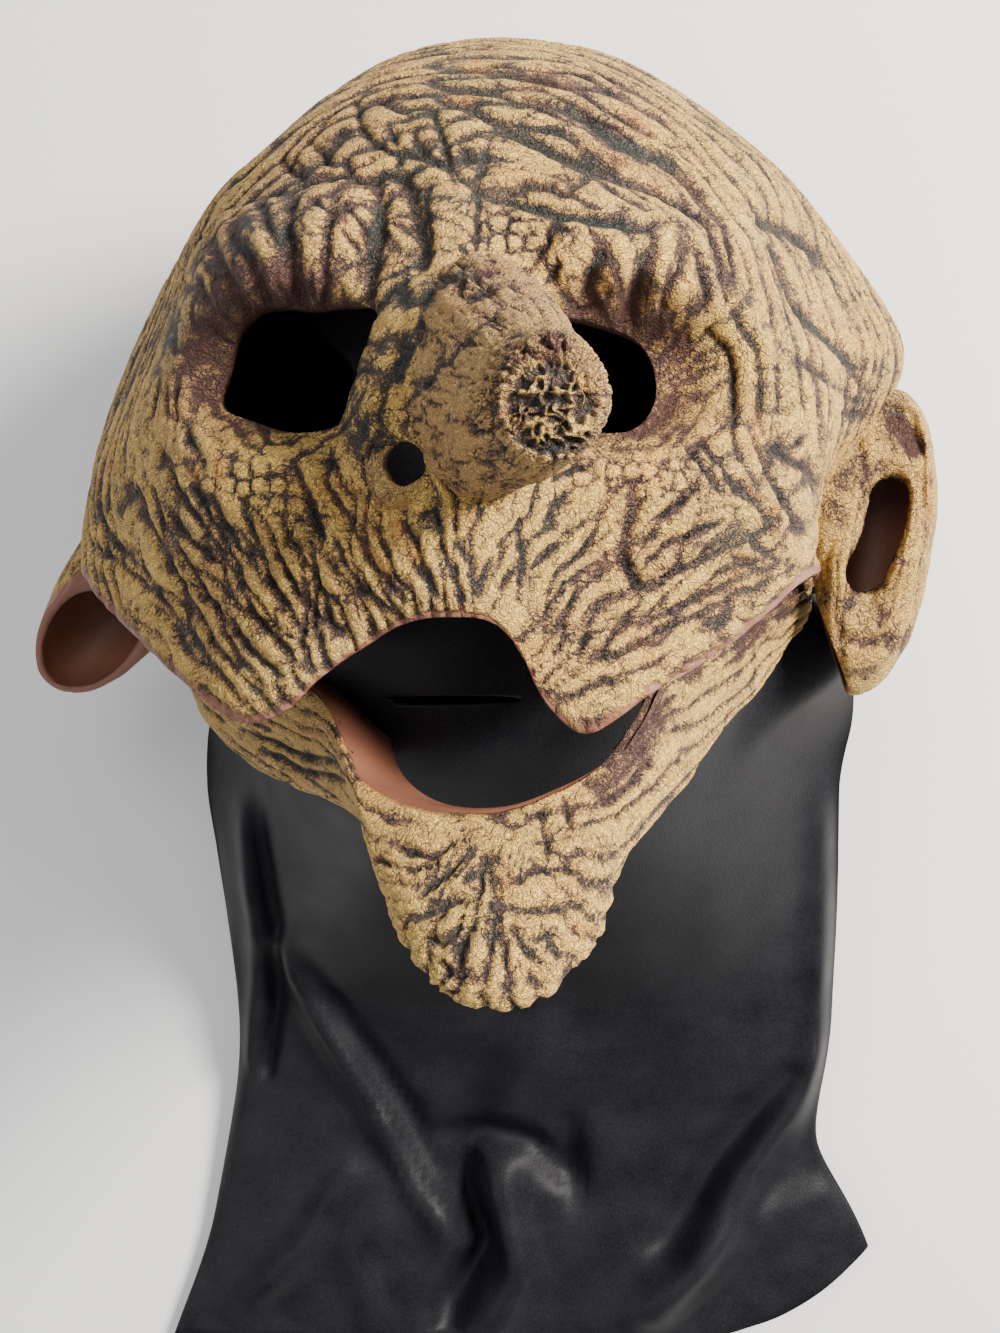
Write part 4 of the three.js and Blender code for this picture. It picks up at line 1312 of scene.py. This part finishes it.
def hood_points(ball):
    along = np.arccos(np.clip(ball[:, 2], -1, 1)) / (np.pi / 2)
    around = np.arctan2(ball[:, 1], ball[:, 0])
    share = np.clip((along - CLOTH_CLOSES) / (1 - CLOTH_CLOSES), 0, 1)
    closing = np.minimum(1, along / CLOTH_CLOSES)
    at, half, peak = curve([row[:3] for row in HOOD], share).T
    low, belly, high = curve([row[3:] for row in HOOD], share).T
    side, rise = np.cos(around), np.sin(around)
    underside = mix(1, 0.4, smoothstep(share, 0.45, 0.7))
    above = (high - belly) * np.abs(rise) ** peak
    below = -(belly - low) * np.abs(rise) ** underside
    slant = np.where(side < 0, HEM["leftDip"] * side, HEM["rightRise"] * side**4)
    level = belly + np.where(rise > 0, above, below) * closing + CLOTH_LIFT
    to_ear = np.exp(-(((at - EAR_CLOTH["at"]) / EAR_CLOTH["reach"]) ** 2)) * (side > 0) * side**2
    to_ear *= EAR_CLOTH["out"] * (1 - smoothstep(level, *EAR_CLOTH["below"]))
    points = columns(
        HOOD_MIDDLE + half * side * closing + HEM["drift"] * smoothstep(share, 0.78, 0.92) + to_ear,
        at + (1 - closing) * 4 + slant * smoothstep(share, 0.8, 1),
        level,
    )
    return points, rise


# Folds of the neck cloth, pressed into or raised from its front.
def drape(points, rise):
    x, y, z = points.T
    front = smoothstep(rise, 0.1, 0.35) * smoothstep(-y, 88, 125)
    height = np.zeros(len(points))
    for line, half, lift in CLOTH_FOLDS:
        away, ends = line_distance(x, y, line)
        height += CLOTH_DEPTH * lift * np.exp(-((away / half) ** 2)) * ends
    height += sum(lift * (noise(columns(x, y) / size, salt) - 0.5) for size, lift, salt in CLOTH_LUMPS)
    lifted = z + height * front
    return columns(x, y, np.maximum(lifted, np.minimum(z, CLOTH_LOWEST)))


# The cloth bag's outer side, open or closed at its hem.
def draped_bag(name, hem_closed):
    bm = bmesh.new()
    bmesh.ops.create_uvsphere(bm, u_segments=HOOD_GRID[0], v_segments=2 * HOOD_GRID[1], radius=1)
    lower = [v for v in bm.verts if v.co.z < -1e-4]
    bmesh.ops.delete(bm, geom=lower, context="VERTS")
    if hem_closed:
        bmesh.ops.holes_fill(bm, edges=[edge for edge in bm.edges if edge.is_boundary])
    bag = new_piece(name, bm)
    set_points(bag, drape(*hood_points(points_of(bag))))
    face_outwards(bag)
    return bag


# The bag as one solid, which takes off what of the jaw would reach through the cloth.
def bag_solid():
    bag = draped_bag("bag_solid", True)
    raise_points(bag, points_of(bag), JAW_TO_CLOTH)
    return bag


def black_hood():
    hood = draped_bag("hood", False)
    thicken(hood, WALL["cloth"])
    eyes = [outline_prism(f"cloth_eye_{k}", eye, *CLOTH_EYES_CUT) for k, eye in enumerate(CLOTH_EYES)]
    centre, half = MOUTH_SLIT["centre"], MOUTH_SLIT["half"]
    slit = oval_prism("mouth_slit", centre, half, *MOUTH_SLIT["cut"], MOUTH_SLIT["uneven"])
    combine(hood, "DIFFERENCE", *eyes, slit)
    panels = [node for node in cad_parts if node.startswith("hood_")]
    hood = finished(hood, "cloth_hood", panels, black_cloth())
    return hood


class Nodes:
    """A short way to write a material's nodes."""

    def __init__(self, name):
        self.material = bpy.data.materials.new(name)
        self.material.use_nodes = True
        self.tree = self.material.node_tree
        self.tree.nodes.clear()
        self.output = self.add("ShaderNodeOutputMaterial")

    def add(self, kind, inputs=None, **settings):
        node = self.tree.nodes.new(kind)
        for key, value in settings.items():
            setattr(node, key, value)
        for key, value in (inputs or {}).items():
            self.set(node.inputs[key], value)
        return node

    def set(self, socket, value):
        if isinstance(value, bpy.types.NodeSocket):
            self.tree.links.new(value, socket)
        else:
            socket.default_value = value

    def math(self, operation, a, b=0.0):
        return self.add("ShaderNodeMath", {0: a, 1: b}, operation=operation).outputs[0]

    def blend(self, factor, a, b):
        node = self.add("ShaderNodeMix", data_type="RGBA")
        self.set(node.inputs[0], factor)
        self.set(node.inputs[6], a)
        self.set(node.inputs[7], b)
        return node.outputs[2]

    def ramp(self, factor, stops):
        node = self.add("ShaderNodeValToRGB", {0: factor})
        elements = node.color_ramp.elements
        while len(elements) < len(stops):
            elements.new(0.5)
        for element, (place, colour) in zip(elements, stops):
            element.position = place
            element.color = (*colour, 1)
        return node.outputs[0]

    def remap(self, value, low, high, to_low=0.0, to_high=1.0):
        inputs = {0: value, 1: low, 2: high, 3: to_low, 4: to_high}
        return self.add("ShaderNodeMapRange", inputs).outputs[0]

    def scaled(self, vector, scale):
        return self.add("ShaderNodeVectorMath", {0: vector, 1: scale}, operation="MULTIPLY").outputs[0]

    def noise(self, vector, scale, detail=2.0, rough=0.5):
        inputs = {"Vector": vector, "Scale": scale, "Detail": detail, "Roughness": rough}
        return self.add("ShaderNodeTexNoise", inputs).outputs[0]

    # Thin winding lines: 0 in them and 1 between.
    def worms(self, vector, scale, width):
        away = self.math("SUBTRACT", self.noise(vector, scale, 1.0), 0.5)
        return self.remap(self.math("ABSOLUTE", away), 0.0, width)

    def attribute(self, name):
        return self.add("ShaderNodeAttribute", attribute_name=name)

    def bump(self, height, distance, strength=1.0):
        inputs = {"Height": height, "Distance": distance, "Strength": strength}
        return self.add("ShaderNodeBump", inputs).outputs[0]

    def surface(self, colour, rough, specular=0.5, normal=None):
        inputs = {"Base Color": colour, "Roughness": rough, "Specular IOR Level": specular}
        if normal is not None:
            inputs["Normal"] = normal
        shader = self.add("ShaderNodeBsdfPrincipled", inputs)
        self.set(self.output.inputs[0], shader.outputs[0])
        return self.material


# Latex painted dark in its folds, where the dark is also painted shade, and dry-brushed cream on top, bare
# where the coat ends.
def latex(name):
    n = Nodes(name)
    paint = n.attribute("paint")
    tone, dark, teal = n.add("ShaderNodeSeparateColor", {0: paint.outputs["Color"]}).outputs
    bare = paint.outputs["Alpha"]
    tints = n.attribute("tints").outputs["Vector"]
    orange, ochre, fine = n.add("ShaderNodeSeparateXYZ", {0: tints}).outputs
    place = n.add("ShaderNodeTexCoord").outputs["Object"]
    sponge = n.noise(place, SPONGE, 2.0, 0.55)
    cracks = n.worms(place, *CRACKS)
    worms = n.math("MINIMUM", *[n.worms(place, *kind) for kind in WORMS])
    clouds = n.noise(place, CLOUDS, 2.0, 0.5)
    rough_part = n.math("MULTIPLY", fine, n.math("SUBTRACT", sponge, 0.5))
    brushed = n.remap(n.noise(place, STREAKS, 3.0), 0.38, 0.52, -0.34, -0.16)
    for part, share in ((tone, 0.8), (rough_part, 0.45), (worms, 0.15), (cracks, 0.14), (clouds, 0.25)):
        brushed = n.math("ADD", brushed, n.math("MULTIPLY", part, share))
    flush = n.remap(n.noise(place, FLUSHES, 3.0), 0.54, 0.68, 0.0, 0.4)
    colour = n.ramp(brushed, BRUSHED)
    for tint, amount, share in (
        (OCHRE, ochre, (0.50, 0.64, 0.0, 0.8)),
        (TEAL, teal, (0.42, 0.72, 0.75, 0.08)),
        (ORANGE, n.math("MAXIMUM", orange, flush), (0.46, 0.66, 0.15, 0.6)),
        (OXBLOOD, dark, (0.45, 0.85, 0.9, 0.35)),
    ):
        colour = n.blend(n.math("MULTIPLY", amount, n.remap(brushed, *share)), colour, (*tint, 1))
    blotch = n.ramp(clouds, [(0.3, RAW_DARK), (0.7, RAW_LIGHT)])
    colour = n.blend(bare, colour, blotch)
    relief = n.math("ADD", n.math("MULTIPLY", sponge, 0.8), n.math("MULTIPLY", worms, 0.5))
    relief = n.math("ADD", relief, n.math("MULTIPLY", cracks, 0.5))
    relief = n.math("MULTIPLY", relief, n.remap(bare, 0.0, 1.0, 1.0, 0.06))
    rough = n.remap(bare, 0.0, 1.0, 0.7, 0.4)
    return n.surface(colour, rough, 0.35, n.bump(relief, GRAIN_HEIGHT))


def painted_latex():
    return latex("painted_latex")


def jaw_latex():
    return latex("jaw_latex")


def black_cloth():
    n = Nodes("black_cloth")
    place = n.add("ShaderNodeTexCoord").outputs["Object"]
    knit = n.noise(n.scaled(place, (1, 0.45, 0.6)), KNIT, 2.0, 0.6)
    worn = n.noise(place, FLUSHES, 3.0)
    shade = n.math("ADD", n.math("MULTIPLY", knit, 0.6), n.math("MULTIPLY", worn, 0.4))
    colour = n.ramp(shade, [(0.35, CLOTH_DARK), (0.65, CLOTH_WORN)])
    rough = n.remap(worn, 0.3, 0.7, 0.34, 0.46)
    return n.surface(colour, rough, 0.1, n.bump(knit, KNIT_HEIGHT, 0.6))


def floor():
    bm = bmesh.new()
    bmesh.ops.create_grid(bm, x_segments=2, y_segments=2, size=FLOOR["half"])
    plane = new_piece("floor", bm)
    plane.data.materials.append(Nodes("pale_floor").surface(FLOOR["colour"], FLOOR["rough"]))


def place_camera():
    data = bpy.data.cameras.new("camera")
    data.sensor_width = SENSOR
    data.lens = SENSOR * FOCAL_PIXELS / PHOTO_SIZE[1]
    camera = bpy.data.objects.new("camera", data)
    right, back = (Vector(axis) for axis in view_axes())
    place = (Vector(VIEW["target"]) + back * VIEW["distance"]) * MM
    turned = Matrix((right, Vector((0, 1, 0)), back)).transposed().to_4x4()
    camera.matrix_world = Matrix.Translation(place) @ turned
    bpy.context.scene.collection.objects.link(camera)
    bpy.context.scene.camera = camera


def area_light(name, place, target, size, power, colour):
    data = bpy.data.lights.new(name, "AREA")
    data.shape = "DISK"
    data.size = size
    data.energy = power
    data.color = colour
    light = bpy.data.objects.new(name, data)
    light.location = place
    light.rotation_mode = "QUATERNION"
    light.rotation_quaternion = (Vector(target) - Vector(place)).to_track_quat("-Z", "Y")
    bpy.context.scene.collection.objects.link(light)


def studio():
    for name, settings in LIGHTS.items():
        area_light(name, *settings)
    world = bpy.data.worlds.new("studio")
    world.use_nodes = True
    background = world.node_tree.nodes["Background"]
    background.inputs[0].default_value = SKY["colour"]
    background.inputs[1].default_value = SKY["strength"]
    bpy.context.scene.world = world


place_camera()
head_casting()
lower_jaw()
black_hood()
floor()
studio()
